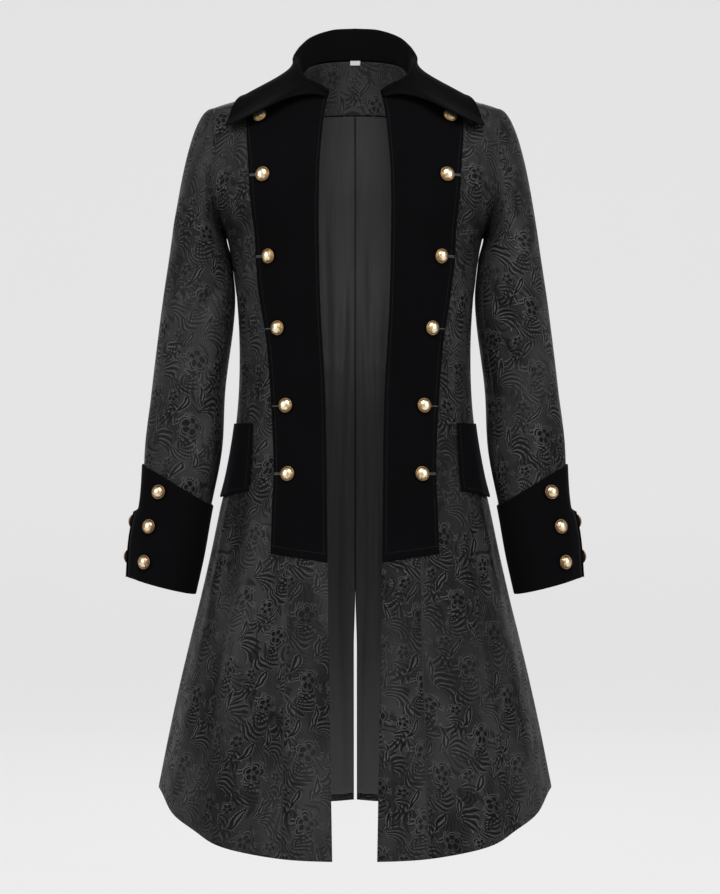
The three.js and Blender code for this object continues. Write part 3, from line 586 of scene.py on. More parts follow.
def panel_place(at, side):
    return lambda u, v, sign: on_shell(*at(u, 2 * v), side, sign)


def level_at(at, u, z):
    """How far down a panel a height lies, 0 to 2."""
    return solve(lambda v: -at(u, v)[1], -np.broadcast_to(z, np.shape(u)).astype(float), 0, 2)


def facing_end(u):
    return level_at(back_centre, u, lerp(FACING_BOTTOM, FACING_SIDE_BOTTOM, u**2))


# Soft folds of the hanging lining: distance from the centre line, width and depth of each.
LINING_FOLDS = table(
    "sign x half depth from_z",
    (1, 16, 7, 2.2, -150),
    (1, 38, 9, 3.2, -240),
    (1, 58, 8, 2.4, -90),
    (1, 78, 9, 2.8, -330),
    (-1, 20, 8, 2.6, -210),
    (-1, 44, 9, 2.8, -110),
    (-1, 62, 8, 2.2, -300),
    (-1, 82, 9, 3, -180),
)
LINING_EASE_DEPTH = 1.6
LINING_EASE_HALF = 5
LINING_WANDER = 5
LINING_WANDER_PITCH = 130
LINING_SPREAD = 0.25  # how much further apart the folds hang at the hem


def lining_fold(x, z, sign):
    raised = np.zeros(np.broadcast(x, z).shape)
    for i, row in enumerate(rows_of(LINING_FOLDS)):
        wander = LINING_WANDER * np.sin(z / LINING_WANDER_PITCH + 1.7 * i)
        centre = row["x"] * (1 + LINING_SPREAD * smooth(-z, 300, 1000))
        bell = np.exp(-(((x - centre - wander) / row["half"]) ** 2))
        raised += (sign == row["sign"]) * row["depth"] * bell * smooth(row["from_z"] - z, 0, 140)
    pleat = LINING_EASE_DEPTH * np.exp(-((x / LINING_EASE_HALF) ** 2)) * smooth(-z, 60, 120)
    return -(raised + pleat)


def lining_place(u, v, sign):
    x, z = back_centre(u, lerp(facing_end(u) + 0.004, 1.985, v))
    return on_shell(x, z, BACK, sign, lining_fold(x, z, sign))


def across_centre(u, point, normal):
    """Points of a piece that runs over the centre back: those with u below a half go to the right."""
    turn = vectors(np.where(u < 0.5, -1, 1), 1, 1)
    return point * turn, normal * turn


def facing_place(u, v, sign):
    share = np.abs(2 * u - 1)
    level = lerp(0.02, facing_end(share) - 0.002, v)
    x, z = back_centre(share, level)
    x = np.where(share < 1e-6, 0, x)
    return across_centre(u, *on_shell(x, z, BACK, 1))


def lapel_place(u, v, sign):
    bottom = lerp(LAPEL_BOTTOM_INNER, LAPEL_BOTTOM_OUTER, u)

    def down(end, start):
        return np.maximum(v * end, (start / UPPER_FRONT_ROWS) + 0.3 * v * end)

    share = np.clip(u / LAPEL_SEAM_SHARE, 0, 1)
    start = lerp(LAPEL_TOP, LAPEL_TOP_OUTER, smooth(share, 0.35, 0.7))
    centre_x, centre_z = front_centre(share, down(level_at(front_centre, share, bottom), start))
    level = down(level_at(front_side, np.zeros_like(u), bottom), LAPEL_TOP_OUTER)
    edge = lapel_edge(front_side(0.3, level)[1])
    reach = solve(lambda s: front_side(s, level)[0], edge, 0, 1)
    beyond = reach * np.clip((u - LAPEL_SEAM_SHARE) / (1 - LAPEL_SEAM_SHARE), 0, 1)
    side_x, side_z = front_side(beyond, level)
    on_centre = u <= LAPEL_SEAM_SHARE
    x, z = np.where(on_centre, centre_x, side_x), np.where(on_centre, centre_z, side_z)
    return on_shell(x, z, FRONT, sign)


ring = {column: through(SLEEVE, "z", column) for column in SLEEVE}
head = {column: through(SLEEVE_HEAD, "angle", column) for column in SLEEVE_HEAD}


def ring_point(z, angle):
    """A point of the sleeve's ring at a height below the arm, 0 degrees being its outer side."""
    a, tilt = np.radians(angle), np.radians(ring["tilt"](z))
    wide, deep = ring["wide"](z) * np.cos(a), ring["deep"](z) * np.sin(a)
    return vectors(ring["x"](z) + wide * np.cos(tilt), ring["y"](z) - deep, z + wide * np.sin(tilt))


def head_point(reach, angle, sign):
    """A point of the sleeve's head, by its reach from the armhole, 0, to the first ring, 1."""
    turn_to = (angle + 180) % 360 - 180
    side = np.where(turn_to >= 0, FRONT, BACK)
    turn = np.abs(turn_to)
    top, bottom = ridge(SHOULDER_X, FRONT), CHEST
    z = (top + bottom) / 2 + (top - bottom) / 2 * np.cos(np.radians(turn))
    start = on_shell(armhole(z), z, side, sign)[0]
    start = start + vectors(SLEEVE_START_GAP, -side * SEAM, np.where(turn > UNDERARM_ANGLE, UNDERARM_LIFT, 0))
    end = ring_point(SLEEVE_TOP, turn_to)
    leave = vectors(head["out"](turn), side * head["fore"](turn), head["up"](turn))
    arrive = (ring_point(SLEEVE_TOP - 1, turn_to) - end) * head["down"](turn)[..., None]
    return bend(reach[..., None], start, leave, end, arrive)


def sleeve_point(along, angle, sign):
    """along runs from 0 at the armhole through 1 at the first ring, then on by millimetres."""
    along, angle = np.broadcast_arrays(np.asarray(along, float), np.asarray(angle, float))
    above = head_point(np.clip(along, 0, 1), angle, sign)
    below = ring_point(SLEEVE_TOP - np.maximum(along - 1, 0), angle)
    return np.where((along < 1)[..., None], above, below)


def round_sleeve(angle):
    """An angle in degrees as millimetres round the sleeve."""
    return angle * math.pi / 180 * SLEEVE_TURN_RADIUS


def sleeve_crease(along, angle, sign):
    head_z = lerp(SLEEVE_CREASE_TOP, SLEEVE_TOP, np.clip(along, 0, 1))
    z = np.where(along < 1, head_z, SLEEVE_TOP - (along - 1))
    around = round_sleeve((angle + 180) % 360 - 180)
    height = np.zeros(np.broadcast(z, around).shape)
    for row in rows_of(SLEEVE_CREASES):
        if row["sign"] == sign:
            ends = [(row["z" + end], round_sleeve(row["angle" + end])) for end in "01"]
            height += soft_ridge(z, around, *ends, row["half"], row["depth"])
    return height * smooth(along, 0.1, 0.5)


def on_sleeve(along, angle, sign, lift=0):
    along, angle = np.broadcast_arrays(np.asarray(along, float), np.asarray(angle, float))
    step = np.where(along < 1, 0.01, 0.8)
    back = np.where(along < step, along, along - step)
    down = sleeve_point(along + step, angle, sign) - sleeve_point(back, angle, sign)
    around = sleeve_point(along, angle + 1.5, sign) - sleeve_point(along, angle - 1.5, sign)
    normal = unit(np.cross(around, down))
    raised = lift + sleeve_crease(along, angle, sign)
    return sleeve_point(along, angle, sign) + normal * np.asarray(raised)[..., None], normal


SLEEVE_HEAD_SHARE = 0.34  # of a sleeve's rows lie above the first ring


def sleeve_place(from_angle, to_angle):
    def place(u, v, sign):
        above = v / SLEEVE_HEAD_SHARE
        below = (v - SLEEVE_HEAD_SHARE) / (1 - SLEEVE_HEAD_SHARE) * (SLEEVE_TOP - SLEEVE_END)
        along = np.where(v <= SLEEVE_HEAD_SHARE, above, 1 + below)
        return on_sleeve(along, lerp(from_angle, to_angle, u), sign)

    return place


def slit_open(height):
    """How far the cuff's slit has opened at a height, 0 to 1."""
    return smooth(CUFF_SLIT_TOP - height, 0, CUFF_SLIT_OPENS)


def cuff_flare(height, turn):
    """How far the cuff stands out beside its slit, by the degrees in front of the slit or behind it."""
    most = np.where(turn > 0, CUFF_FLARE_IN_FRONT, CUFF_FLARE)
    return most * slit_open(height) * (1 - smooth(np.abs(turn), 0, CUFF_FLARE_REACH))


def cuff_place(u, v, sign):
    first = CUFF_SLIT_ANGLE
    rise = (1 + np.cos(np.radians(first + 360 * u))) / 2
    height = lerp(lerp(CUFF_TOP_INNER, CUFF_TOP_OUTER, rise), CUFF_BOTTOM, v)
    half = lerp(CUFF_SLIT_CLOSED_HALF, CUFF_SLIT_HALF, slit_open(height))
    angle = lerp(first + half, first + 360 - half, u)
    turn = np.where(u < 0.5, angle - first, angle - first - 360)
    return on_sleeve(1 + SLEEVE_TOP - height, angle, sign, CUFF_LIFT + cuff_flare(height, turn))


BUTTON_REACH = 10  # degrees round the cuff, to a button's edge


def on_cuff(height, angle, sign):
    """The cuff's outer face at a button, and the direction square to the stretch that it covers."""

    def at(turn):
        flare = cuff_flare(height, turn - CUFF_SLIT_ANGLE)
        return on_sleeve(1 + SLEEVE_TOP - height, turn, sign, CUFF_LIFT + VELVET + flare)

    point, normal = at(angle)
    across = unit(at(angle + BUTTON_REACH)[0] - at(angle - BUTTON_REACH)[0])
    return point, unit(normal - across * np.sum(across * normal))


def flap_place(u, v, sign):
    front = lerp(FLAP_FRONT_ANGLE, FLAP_FRONT_ANGLE_BELOW, v)
    angle = np.radians(lerp(front, FLAP_BACK_ANGLE, u))
    peak = 1 - np.abs(2 * u - 1)
    z = FLAP_TOP - v * (FLAP_FRONT_HEIGHT + FLAP_SIDE_DROP * peak)
    return around_shell(angle, z, sign, FLAP_TOP_LIFT + FLAP_LIFT * v)


collar_at = {column: through(COLLAR, "step", column) for column in COLLAR}


def collar_line(name, step):
    return vectors(*(collar_at[name + axis](step) for axis in "XYZ"))


def collar_seat(step):
    """Where the collar's stand is sewn to the neckline."""
    front = step <= COLLAR_FRONT_STEPS
    front_x, front_z = front_centre(step / FRONT_NECK_STEPS, 0)
    back_x, back_z = back_centre((COLLAR_STEPS - step) / BACK_NECK_STEPS, 0)
    x, z = np.where(front, front_x, back_x), np.where(front, front_z, back_z)
    point, normal = on_shell(x, z, np.where(front, FRONT, BACK), 1)
    point = point - normal * vectors(CLOTH / 2, CLOTH / 2, 0)
    point[..., 0] = np.where(step >= COLLAR_STEPS, 0, point[..., 0])
    point[..., 2] += COLLAR_SEAT
    return point


STAND_SHARE = 0.3  # of a collar's rows: the stand and the roll of the fold, then the fall
ROLL_SHARE = 0.06


def collar_half(step, v):
    """Points of the collar on the wearer's left, from the seat up the stand, over and down the fall."""
    seat = collar_seat(step)
    top = collar_line("fold", step)
    edge = collar_line("edge", step)
    up = unit(top - seat)
    out = (edge - seat) * (1, 1, 0)
    out = unit(out - up * np.sum(out * up, axis=-1, keepdims=True))
    centre = top - up * COLLAR_ROLL
    inner, outer = centre - out * COLLAR_ROLL, centre + out * COLLAR_ROLL
    rise = np.clip(v / (STAND_SHARE - ROLL_SHARE), 0, 1)[..., None]
    roll = np.clip((v - STAND_SHARE + ROLL_SHARE) / ROLL_SHARE, 0, 1)[..., None] * np.pi
    stand = lerp(seat, inner, rise)
    rolled = centre - out * COLLAR_ROLL * np.cos(roll) + up * COLLAR_ROLL * np.sin(roll)
    t = np.clip((v - STAND_SHARE) / (1 - STAND_SHARE), 0, 1)[..., None]
    second = outer - up * collar_at["drop"](step)[..., None]
    third = lerp(edge, outer, 0.4) + out * collar_at["belly"](step)[..., None]
    fall = outer * (1 - t) ** 3 + second * 3 * t * (1 - t) ** 2 + third * 3 * t**2 * (1 - t) + edge * t**3
    side = np.where(step <= COLLAR_FRONT_STEPS, FRONT, BACK)
    z = np.minimum(fall[..., 2], ridge(fall[..., 0], side) - 0.5)
    away = unit(slope_out(fall[..., 0], fall[..., 1], z, side))
    short = COLLAR_REST * smooth(t[..., 0], 0, 0.6) - off_shell(fall, side)
    fall = fall + away * np.maximum(short, 0)[..., None]
    v = v[..., None]
    return np.where(v < STAND_SHARE - ROLL_SHARE, stand, np.where(v < STAND_SHARE, rolled, fall))


def collar_place(u, v, sign):
    signed = 2 * u - 1
    point = collar_half(COLLAR_STEPS * (1 - np.abs(signed)), v)
    point[..., 0] *= np.where(signed < 0, -1, 1)
    return point, unit(np.cross(np.gradient(point, axis=1), np.gradient(point, axis=0)))


def label_place(u, v, sign):
    x, z = np.abs(u - 0.5) * LABEL_WIDTH, LABEL_TOP - v * LABEL_HEIGHT
    return across_centre(u, *on_shell(x, z, BACK, 1))


def lengths(point, axis):
    """Running length of a grid of points along one axis, from its start."""
    steps = np.linalg.norm(np.diff(point, axis=axis), axis=-1)
    start = np.zeros_like(np.take(steps, [0], axis=axis))
    return np.concatenate([start, np.cumsum(steps, axis=axis)], axis=axis)


def in_scene(name, data):
    made = bpy.data.objects.new(name, data)
    bpy.context.collection.objects.link(made)
    return made


def mesh_of(name, points, faces, uvs=None):
    """A mesh object at the origin, from points in millimetres."""
    mesh = bpy.data.meshes.new(name)
    faces = faces.tolist() if hasattr(faces, "tolist") else faces
    mesh.from_pydata((np.asarray(points) * MM).tolist(), [], faces)
    if uvs is not None:
        layer = mesh.uv_layers.new(name="cloth")
        corners = np.empty(len(mesh.loops), int)
        mesh.loops.foreach_get("vertex_index", corners)
        layer.data.foreach_set("uv", (uvs[corners] * MM).ravel().astype(np.float32))
    mesh.shade_smooth()
    return in_scene(name, mesh)


RIM_STEPS = 4


def cloth(name, place, columns, rows, top, bottom, sign=1, grain=0.5, shift=(0, 0), level=0):
    """A closed cloth wall with rounded edges. place(u, v, sign) gives the grid and the direction out of
    the cloth, and the wall reaches from bottom to top along it. The UV map runs in millimetres across
    the cloth from the grain line, at that share of its width, and down it from the level, at that
    share of its rows."""
    u, v = np.meshgrid(np.linspace(0, 1, columns + 1), np.linspace(0, 1, rows + 1))
    point, normal = place(u, v, sign)
    point, normal = point * (sign, 1, 1), normal * (sign, 1, 1)
    across, down = lengths(point, 1), lengths(point, 0)
    across = across - across[:, [round(grain * columns)]]
    down = down - down[[round(level * rows)], :]
    uv = np.stack([across * sign + shift[0], -down + shift[1]], axis=-1)

    border = (
        [(0, i) for i in range(columns)]
        + [(j, columns) for j in range(rows)]
        + [(rows, i) for i in range(columns, 0, -1)]
        + [(j, 0) for j in range(rows, 0, -1)]
    )
    rows_at, columns_at = np.array(border).T
    inner_row = np.clip(rows_at, 1, rows - 1)
    inner_column = np.clip(columns_at, 1, columns - 1)
    edge, edge_normal = point[rows_at, columns_at], normal[rows_at, columns_at]
    outward = edge - point[inner_row, inner_column]
    outward = unit(outward - edge_normal * np.sum(outward * edge_normal, axis=-1, keepdims=True))
    radius = (top - bottom) / 2
    point = point.copy()
    point[rows_at, columns_at] = edge - outward * radius
    layers = [point + normal * top, point + normal * bottom]
    middle = edge - outward * radius + edge_normal * (top + bottom) / 2
    turns = np.pi * np.arange(1, RIM_STEPS) / RIM_STEPS
    rims = [middle + radius * (outward * math.sin(a) + edge_normal * math.cos(a)) for a in turns]
    points = np.concatenate([layer.reshape(-1, 3) for layer in layers] + rims)

    wide = columns + 1
    grid = np.arange((rows + 1) * wide).reshape(rows + 1, wide)
    face = np.stack([grid[:-1, :-1], grid[1:, :-1], grid[1:, 1:], grid[:-1, 1:]], axis=-1).reshape(-1, 4)
    size = grid.size
    loop = grid[rows_at, columns_at]
    rims_at = [2 * size + k * len(loop) + np.arange(len(loop)) for k in range(RIM_STEPS - 1)]
    rings = [loop, *rims_at, loop + size]
    bands = [np.stack([a, np.roll(a, -1), np.roll(b, -1), b], axis=-1) for a, b in zip(rings, rings[1:])]
    faces = np.concatenate([face, face[:, ::-1] + size, *bands])
    a, b, c = (points[face[:, k]] for k in (0, 1, 2))
    if np.sum(np.cross(b - a, c - a) * normal[:-1, :-1].reshape(-1, 3)) < 0:
        faces = faces[:, ::-1]
    flat = uv.reshape(-1, 2)
    uvs = np.concatenate([flat, flat] + [uv[rows_at, columns_at]] * (RIM_STEPS - 1))
    return mesh_of(name, points, faces, uvs)


class Socket:
    """A number or vector that varies over a surface, so that shader maths reads as an expression."""

    def __init__(self, finish, socket):
        self.finish, self.socket = finish, socket

    def maths(self, operation, first, *others):
        return self.finish.node("ShaderNodeMath", {"operation": operation}, dict(enumerate((first, *others))))

    def __add__(self, other):
        return self.maths("ADD", self, other)

    __radd__ = __add__

    def __sub__(self, other):
        return self.maths("SUBTRACT", self, other)

    def __rsub__(self, other):
        return self.maths("SUBTRACT", other, self)

    def __mul__(self, other):
        return self.maths("MULTIPLY", self, other)

    __rmul__ = __mul__

    def __truediv__(self, other):
        return self.maths("DIVIDE", self, other)

    def __rtruediv__(self, other):
        return self.maths("DIVIDE", other, self)

    def __abs__(self):
        return self.maths("ABSOLUTE", self)

    def wrap(self, period):
        """The distance from the nearest multiple of a period."""
        return self.maths("WRAP", self, period / 2, -period / 2)

    def most(self, other):
        return self.maths("MAXIMUM", self, other)

    def least(self, other):
        return self.maths("MINIMUM", self, other)

    def root(self):
        return self.maths("SQRT", self)

    def sine(self):
        return self.maths("SINE", self)

    def ramp(self, low, high):
        """0 up to a low value, rising softly to 1 at a high one."""
        ends = {"Value": self, "From Min": low, "From Max": high}
        return self.finish.node("ShaderNodeMapRange", {"interpolation_type": "SMOOTHSTEP"}, ends)

    def below(self, limit, soft):
        return self.ramp(limit + soft, limit - soft)

    def above(self, limit, soft):
        return self.ramp(limit - soft, limit + soft)


def rgba(colour, share=1):
    """A share of a colour, opaque."""
    return (*(share * value for value in colour), 1)


def grey(value):
    return (value, value, value)


class Finish:
    """One material. node() adds any node: its settings first, then its input values and links."""

    def __init__(self, name):
        self.material = bpy.data.materials.new(name)
        self.material.use_nodes = True
        self.tree = self.material.node_tree
        self.shader = self.tree.nodes["Principled BSDF"]

    def put(self, socket, value):
        if isinstance(value, Socket):
            self.tree.links.new(value.socket, socket)
        else:
            socket.default_value = value

    def node(self, kind, settings=None, inputs=None, output=0):
        made = self.tree.nodes.new(kind)
        for key, value in (settings or {}).items():
            setattr(made, key, value)
        for key, value in (inputs or {}).items():
            self.put(made.inputs[key], value)
        return Socket(self, made.outputs[output])

    def surface(self, **inputs):
        """Sets the shader's own sockets, whose names are given with _ for a space."""
        for name, value in inputs.items():
            self.put(self.shader.inputs[name.replace("_", " ")], value)
        return self.material

    def cloth_place(self):
        """Distance across and down the cloth in millimetres, from its UV map."""
        uv = self.node("ShaderNodeUVMap", {"uv_map": "cloth"})
        return [self.node("ShaderNodeSeparateXYZ", None, {0: uv}, axis) / MM for axis in (0, 1)]

    def object_place(self):
        return self.node("ShaderNodeTexCoord", None, None, "Object")

    def noise(self, place, scale, detail=2.0, roughness=0.5):
        inputs = {"Vector": place, "Scale": scale, "Detail": detail, "Roughness": roughness}
        return self.node("ShaderNodeTexNoise", None, inputs)

    def vector(self, x, y, z=0.0):
        return self.node("ShaderNodeCombineXYZ", None, {0: x, 1: y, 2: z})

    def blend(self, factor, first, second):
        """A colour between two colours."""
        inputs = {0: factor, 6: first, 7: second}
        return self.node("ShaderNodeMix", {"data_type": "RGBA"}, inputs, 2)

    def bump(self, height, distance, strength=1.0):
        inputs = {"Height": height, "Distance": distance, "Strength": strength}
        return self.node("ShaderNodeBump", None, inputs)


# The damask of the coat: one repeat, in millimetres, with every other column dropped by half.
REPEAT_X = 66
REPEAT_Y = 92
EDGE = 0.45  # softness of the woven outlines


def motif_place(x, y, centre_x, centre_y, turn, mirror=1):
    """Coordinates from the nearest copy of a motif's centre, turned by some degrees."""
    from_centre = x - centre_x
    local_x = from_centre.wrap(REPEAT_X)
    column = (from_centre - local_x) / REPEAT_X
    local_y = (y - centre_y + column * (REPEAT_Y / 2)).wrap(REPEAT_Y)
    c, s = math.cos(math.radians(turn)), math.sin(math.radians(turn))
    return (local_x * (c * mirror) + local_y * s), (local_y * c - local_x * (s * mirror))


def polar(x, y):
    """Distance from the motif's centre, and angle from its upward axis."""
    return (x * x + y * y).root(), x.maths("ARCTAN2", x, y)


def plumes(x, y, inner, outer, leaves, spread, curl):
    """A fan of curling leaves, the middle ones longest. Gives the dark leaves and their pale edges, with
    painted relief light: lighter and pale-edged on one side of each leaf.
    """
    reach, angle = polar(x, y)
    angle = angle + reach * (curl / outer)
    spread = math.radians(spread)
    pitch = 2 * spread / leaves
    tip = outer - angle * angle * (0.42 * outer / spread**2)
    along = (reach - inner) / (tip - inner)
    sharp = along * (1 - along * along)
    half = (sharp * (0.6 * pitch * outer)).least(reach * (0.34 * pitch))
    across = angle.wrap(pitch) * reach
    from_edge = abs(across) - half
    held = abs(angle).below(spread, 0.03) * sharp.above(0.02, 0.02)
    # Painted relief light: each leaf is lighter and pale-edged on one side and darker on the other.
    lit_side = across.above(0.2, 1.2)
    dark = from_edge.below(-0.1, EDGE) * held * (1 - lit_side * 0.5)
    return dark, abs(from_edge - 0.5).below(0.35, EDGE) * held * (lit_side * 0.8 + 0.2)


def bloom(x, y, radius, petals, turn):
    """An open flower: pale scalloped outline, dark petals, a pale inner line and a dotted eye, its pale lines
    brighter on one side as painted relief light.
    """
    reach, angle = polar(x, y)
    petal = abs((angle * (petals / 2) + turn).sine())
    from_edge = reach - petal.root() * (0.42 * radius) - 0.58 * radius
    rim = abs(from_edge + 0.8).below(0.45, EDGE)
    second = abs(from_edge + 0.26 * radius).below(0.3, EDGE)
    inner = (from_edge + 0.36 * radius).below(0, EDGE) * reach.above(0.2 * radius, 0.6)
    throat = inner * petal.above(0.45, 0.1)
    dots = (angle * 7).sine().above(0, 0.4) * abs(reach - 0.17 * radius).below(0.5, EDGE)
    body = from_edge.below(0.6, EDGE)
    shadow = abs(from_edge + 0.15 * radius).below(0.08 * radius, EDGE) * petal.above(0.5, 0.1)
    # Painted relief light: the pale lines are brighter on one side of the flower, as if raised and lit from
    # there.
    raised = (y - x).above(0, radius) * 0.7 + 0.3
    return throat.most(shadow), rim.most(second).most(dots) * raised, body


def drop(x, y, length, width, bead):
    """A bent drop with a dotted outline, a dark rim and a pale heart."""
    along = (y + length / 2) / length
    x = x - along * along * (0.3 * length)
    held = along.above(0, 0.01) * along.below(1, 0.01)
    half = (1 - along) * along.most(0).root() * (1.3 * width)
    from_edge = abs(x) - half
    dots = (y * (2 * math.pi / bead)).sine().above(-0.3, 0.3)
    outline = abs(from_edge - 0.4).below(0.5, EDGE) * dots
    dark_rim = abs(from_edge + 0.2 * width).below(0.14 * width, EDGE)
    heart = abs(from_edge + 0.42 * width).below(0.3, EDGE)
    return dark_rim * held, outline.most(heart) * held, from_edge.below(0.4, EDGE) * held


def crescents(x, y, radius, pitch, count, spread):
    """Some parallel curved strokes, thick in the middle and fine at their ends."""
    reach, angle = polar(x, y)
    share = abs(angle) / math.radians(spread)
    half = (1 - share * share) * (0.34 * pitch)
    from_edge = abs((reach - radius).wrap(pitch)) - half
    held = abs(reach - radius).below(pitch * count / 2, 0.2) * share.below(1, 0.03)
    return from_edge.below(-0.2, EDGE) * held, abs(from_edge - 0.4).below(0.25, EDGE) * held


def swirls(made, x, y, bend, pitch, seed):
    """Fine strokes that follow one another round slow bends, in patches."""
    slow = made.noise(made.vector(x * 0.021 + seed, y * 0.016), 1.0, 0.0)
    patch = made.noise(made.vector(x * 0.05 - seed, y * 0.04 + seed), 1.0, 0.0)
    stroke = abs((x * 0.7 + y * 0.35 + slow * bend).wrap(pitch))
    return (stroke - patch * (0.5 * pitch)).below(-0.12 * pitch, 0.4) * patch.above(0.44, 0.07)


DARK_FIGURES = (
    (plumes, (17, 18, 196), (6, 44, 8, 62, 1.1)),
    (plumes, (50, 60, 22, -1), (5, 41, 6, 56, 1.3)),
    (plumes, (60, 12, -62), (5, 33, 4, 50, -1.2)),
    (plumes, (4, 66, 128, -1), (4, 33, 4, 46, 1.3)),
    (plumes, (36, 88, 60), (4, 30, 4, 42, -1.4)),
    (crescents, (30, 6, -30), (17, 5.2, 3, 46)),
    (crescents, (64, 44, 118), (13, 4.6, 2, 58)),
    (crescents, (22, 52, 214), (12, 4.4, 2, 62)),
)
CLEAR_FIGURES = (
    (bloom, (42, 36, 12), (15.5, 5, 0.6)),
    (bloom, (12, 76, 0), (11, 5, 0.2)),
    (drop, (28, 62, 158), (33, 9, 2.6)),
    (drop, (58, 84, 20, -1), (27, 7.5, 2.4)),
)


def figure(made, x, y):
    """The woven figure: how dark and how pale it is at each place. Flowers and drops lie over the leaves."""
    dark = swirls(made, x, y, 60, 5.6, 3.0) * 0.75
    pale = None
    for motif, place, shape in DARK_FIGURES:
        leaf_dark, leaf_pale = motif(*motif_place(x, y, *place), *shape)
        dark = dark.most(leaf_dark)
        pale = pale.most(leaf_pale) if pale else leaf_pale
    for motif, place, shape in CLEAR_FIGURES:
        own_dark, own_pale, body = motif(*motif_place(x, y, *place), *shape)
        clear = 1 - body
        dark = (dark * clear).most(own_dark)
        pale = (pale * clear).most(own_pale)
    return dark, pale


def brocade_finish(name, ground, dark_thread, pale_thread, shine):
    """Tone-on-tone floral damask: matt dark leaves and flowers with pale edges on a satin ground, which
    carries broad streaks of painted light and shade from soft folds.
    """
    made = Finish(name)
    x, y = made.cloth_place()
    wander = made.noise(made.vector(x * 0.026, y * 0.026), 1.0, 2.0)
    drift = made.noise(made.vector(y * 0.024, x * 0.024, 5.0), 1.0, 1.0)
    dark, pale = figure(made, x + wander * 24, y + drift * 22)
    # Painted light and shade of soft folds: long streaks down the cloth where the satin ground is lighter or
    # darker.
    painted_fold_light = made.noise(made.vector(x * 0.012, y * 0.005), 1.0, 2.0).ramp(0.32, 0.68)
    floats = made.noise(made.vector(x * 0.35, y * 1.1), 1.0, 2.0)
    weave = abs((x + y * 0.5).wrap(0.9)) + abs((y - x * 0.25).wrap(0.7))
    # The figure and its pale edges show more strongly in some broad patches than in others.
    patchy_strength = made.noise(made.vector(x * 0.009 + 4, y * 0.008), 1.0, 1.0).ramp(0.36, 0.6) * 0.5 + 0.5
    # In the painted fold shade the ground falls to about a quarter of its colour.
    ground_with_painted_folds = made.blend(painted_fold_light, rgba(ground, 0.24), rgba(ground))
    body = made.blend(dark * patchy_strength, ground_with_painted_folds, rgba(dark_thread))
    edged = made.blend(pale * (1 - dark) * (patchy_strength * 0.6 + floats * 0.4), body, rgba(pale_thread))
    return made.surface(
        Base_Color=edged,
        Roughness=shine + dark * 0.22 + floats * 0.12,
        Normal=made.bump(weave * 0.5 + floats * 0.8, 0.0005, 0.5),
        Specular_IOR_Level=0.09,
    )


def velvet_finish(name, colour):
    made = Finish(name)
    place = made.object_place()
    pile = made.noise(place, 900.0, 2.0)
    nap = made.noise(place, 16.0, 3.0)
    shade = made.blend(nap, rgba(colour), rgba(colour, 1.9))
    return made.surface(
        Base_Color=shade,
        Roughness=0.82 + pile * 0.15,
        Normal=made.bump(pile * 0.6 + nap * 0.4, 0.0004, 0.5),
        Specular_IOR_Level=0.04,
        Sheen_Weight=0.025,
        Sheen_Roughness=0.35,
        Sheen_Tint=(0.75, 0.8, 1.0, 1),
    )


def satin_finish():
    """Lining: fine slanting twill with a soft lengthwise slub, and near-black painted shade down the
    centre-back seam and along the top edge.
    """
    made = Finish("lining_satin")
    x, y = made.cloth_place()
    twill = abs((x + y * 0.7).wrap(0.8))
    slub = made.noise(made.vector(x * 0.35, y * 0.012), 1.0, 2.0)
    shade = made.blend(slub, (0.019, 0.019, 0.0194, 1), (0.04, 0.04, 0.0407, 1))
    # Painted shade: a near-black line down the centre-back seam and along the top edge under the facing,
    # where the lining meets its other half and the facing.
    seam = abs(x).below(1.2, 0.6).most(abs(y).below(1.4, 0.6))
    return made.surface(
        Base_Color=made.blend(seam, shade, rgba(grey(0.004))),
        Roughness=0.42 + slub * 0.16,
        Normal=made.bump(twill + slub * 0.6, 0.0003, 0.5),
        Specular_IOR_Level=0.4,
    )


def tape_finish():
    made = Finish("label_tape")
    x, y = made.cloth_place()
    ribs = abs(y.wrap(0.5)) + abs(x.wrap(0.8)) * 0.4
    soil = made.noise(made.object_place(), 300.0, 2.0)
    shade = made.blend(soil, (0.62, 0.62, 0.63, 1), rgba(grey(0.78)))
    return made.surface(Base_Color=shade, Roughness=0.6 + soil * 0.2, Normal=made.bump(ribs, 0.0003, 0.6))


def button_finish(name, bright_metal, patina_and_rim_shade, roughness, relief):
    """Stamped metal with brown patina in a fine soft relief, and painted shade darkening it towards the rim,
    which leaves a painted highlight on its crown.
    """
    made = Finish(name)
    place = made.object_place()
    from_axis = made.cloth_place()[0]
    stamped = made.noise(place, 420.0, 2.0, 0.6)
    patina = made.noise(place, 190.0, 3.0, 0.6)
    # Noise gives the patina. The ramp by distance from the axis is painted shade towards the rim and leaves
    # the crown bright as a painted highlight.
    dark = ((stamped + patina) * 0.5 + from_axis.ramp(3.5, 10) * 0.3).ramp(0.5, 0.72)
    return made.surface(
        Base_Color=made.blend(dark, rgba(bright_metal), rgba(patina_and_rim_shade)),
        Metallic=1.0,
        Roughness=roughness + dark * 0.14,
        Normal=made.bump(stamped, 0.0005, relief),
    )


def thread_finish(name, colour):
    made = Finish(name)
    place = made.object_place()
    twist = made.noise(place, 1500.0, 2.0)
    shade = made.blend(twist, rgba(colour), rgba(colour, 0.55))
    return made.surface(Base_Color=shade, Roughness=0.6 + twist * 0.2, Normal=made.bump(twist, 0.0002, 0.5))


brocade = brocade_finish("brocade", (0.0285, 0.0285, 0.0286), grey(0.0014), (0.11, 0.11, 0.111), 0.36)
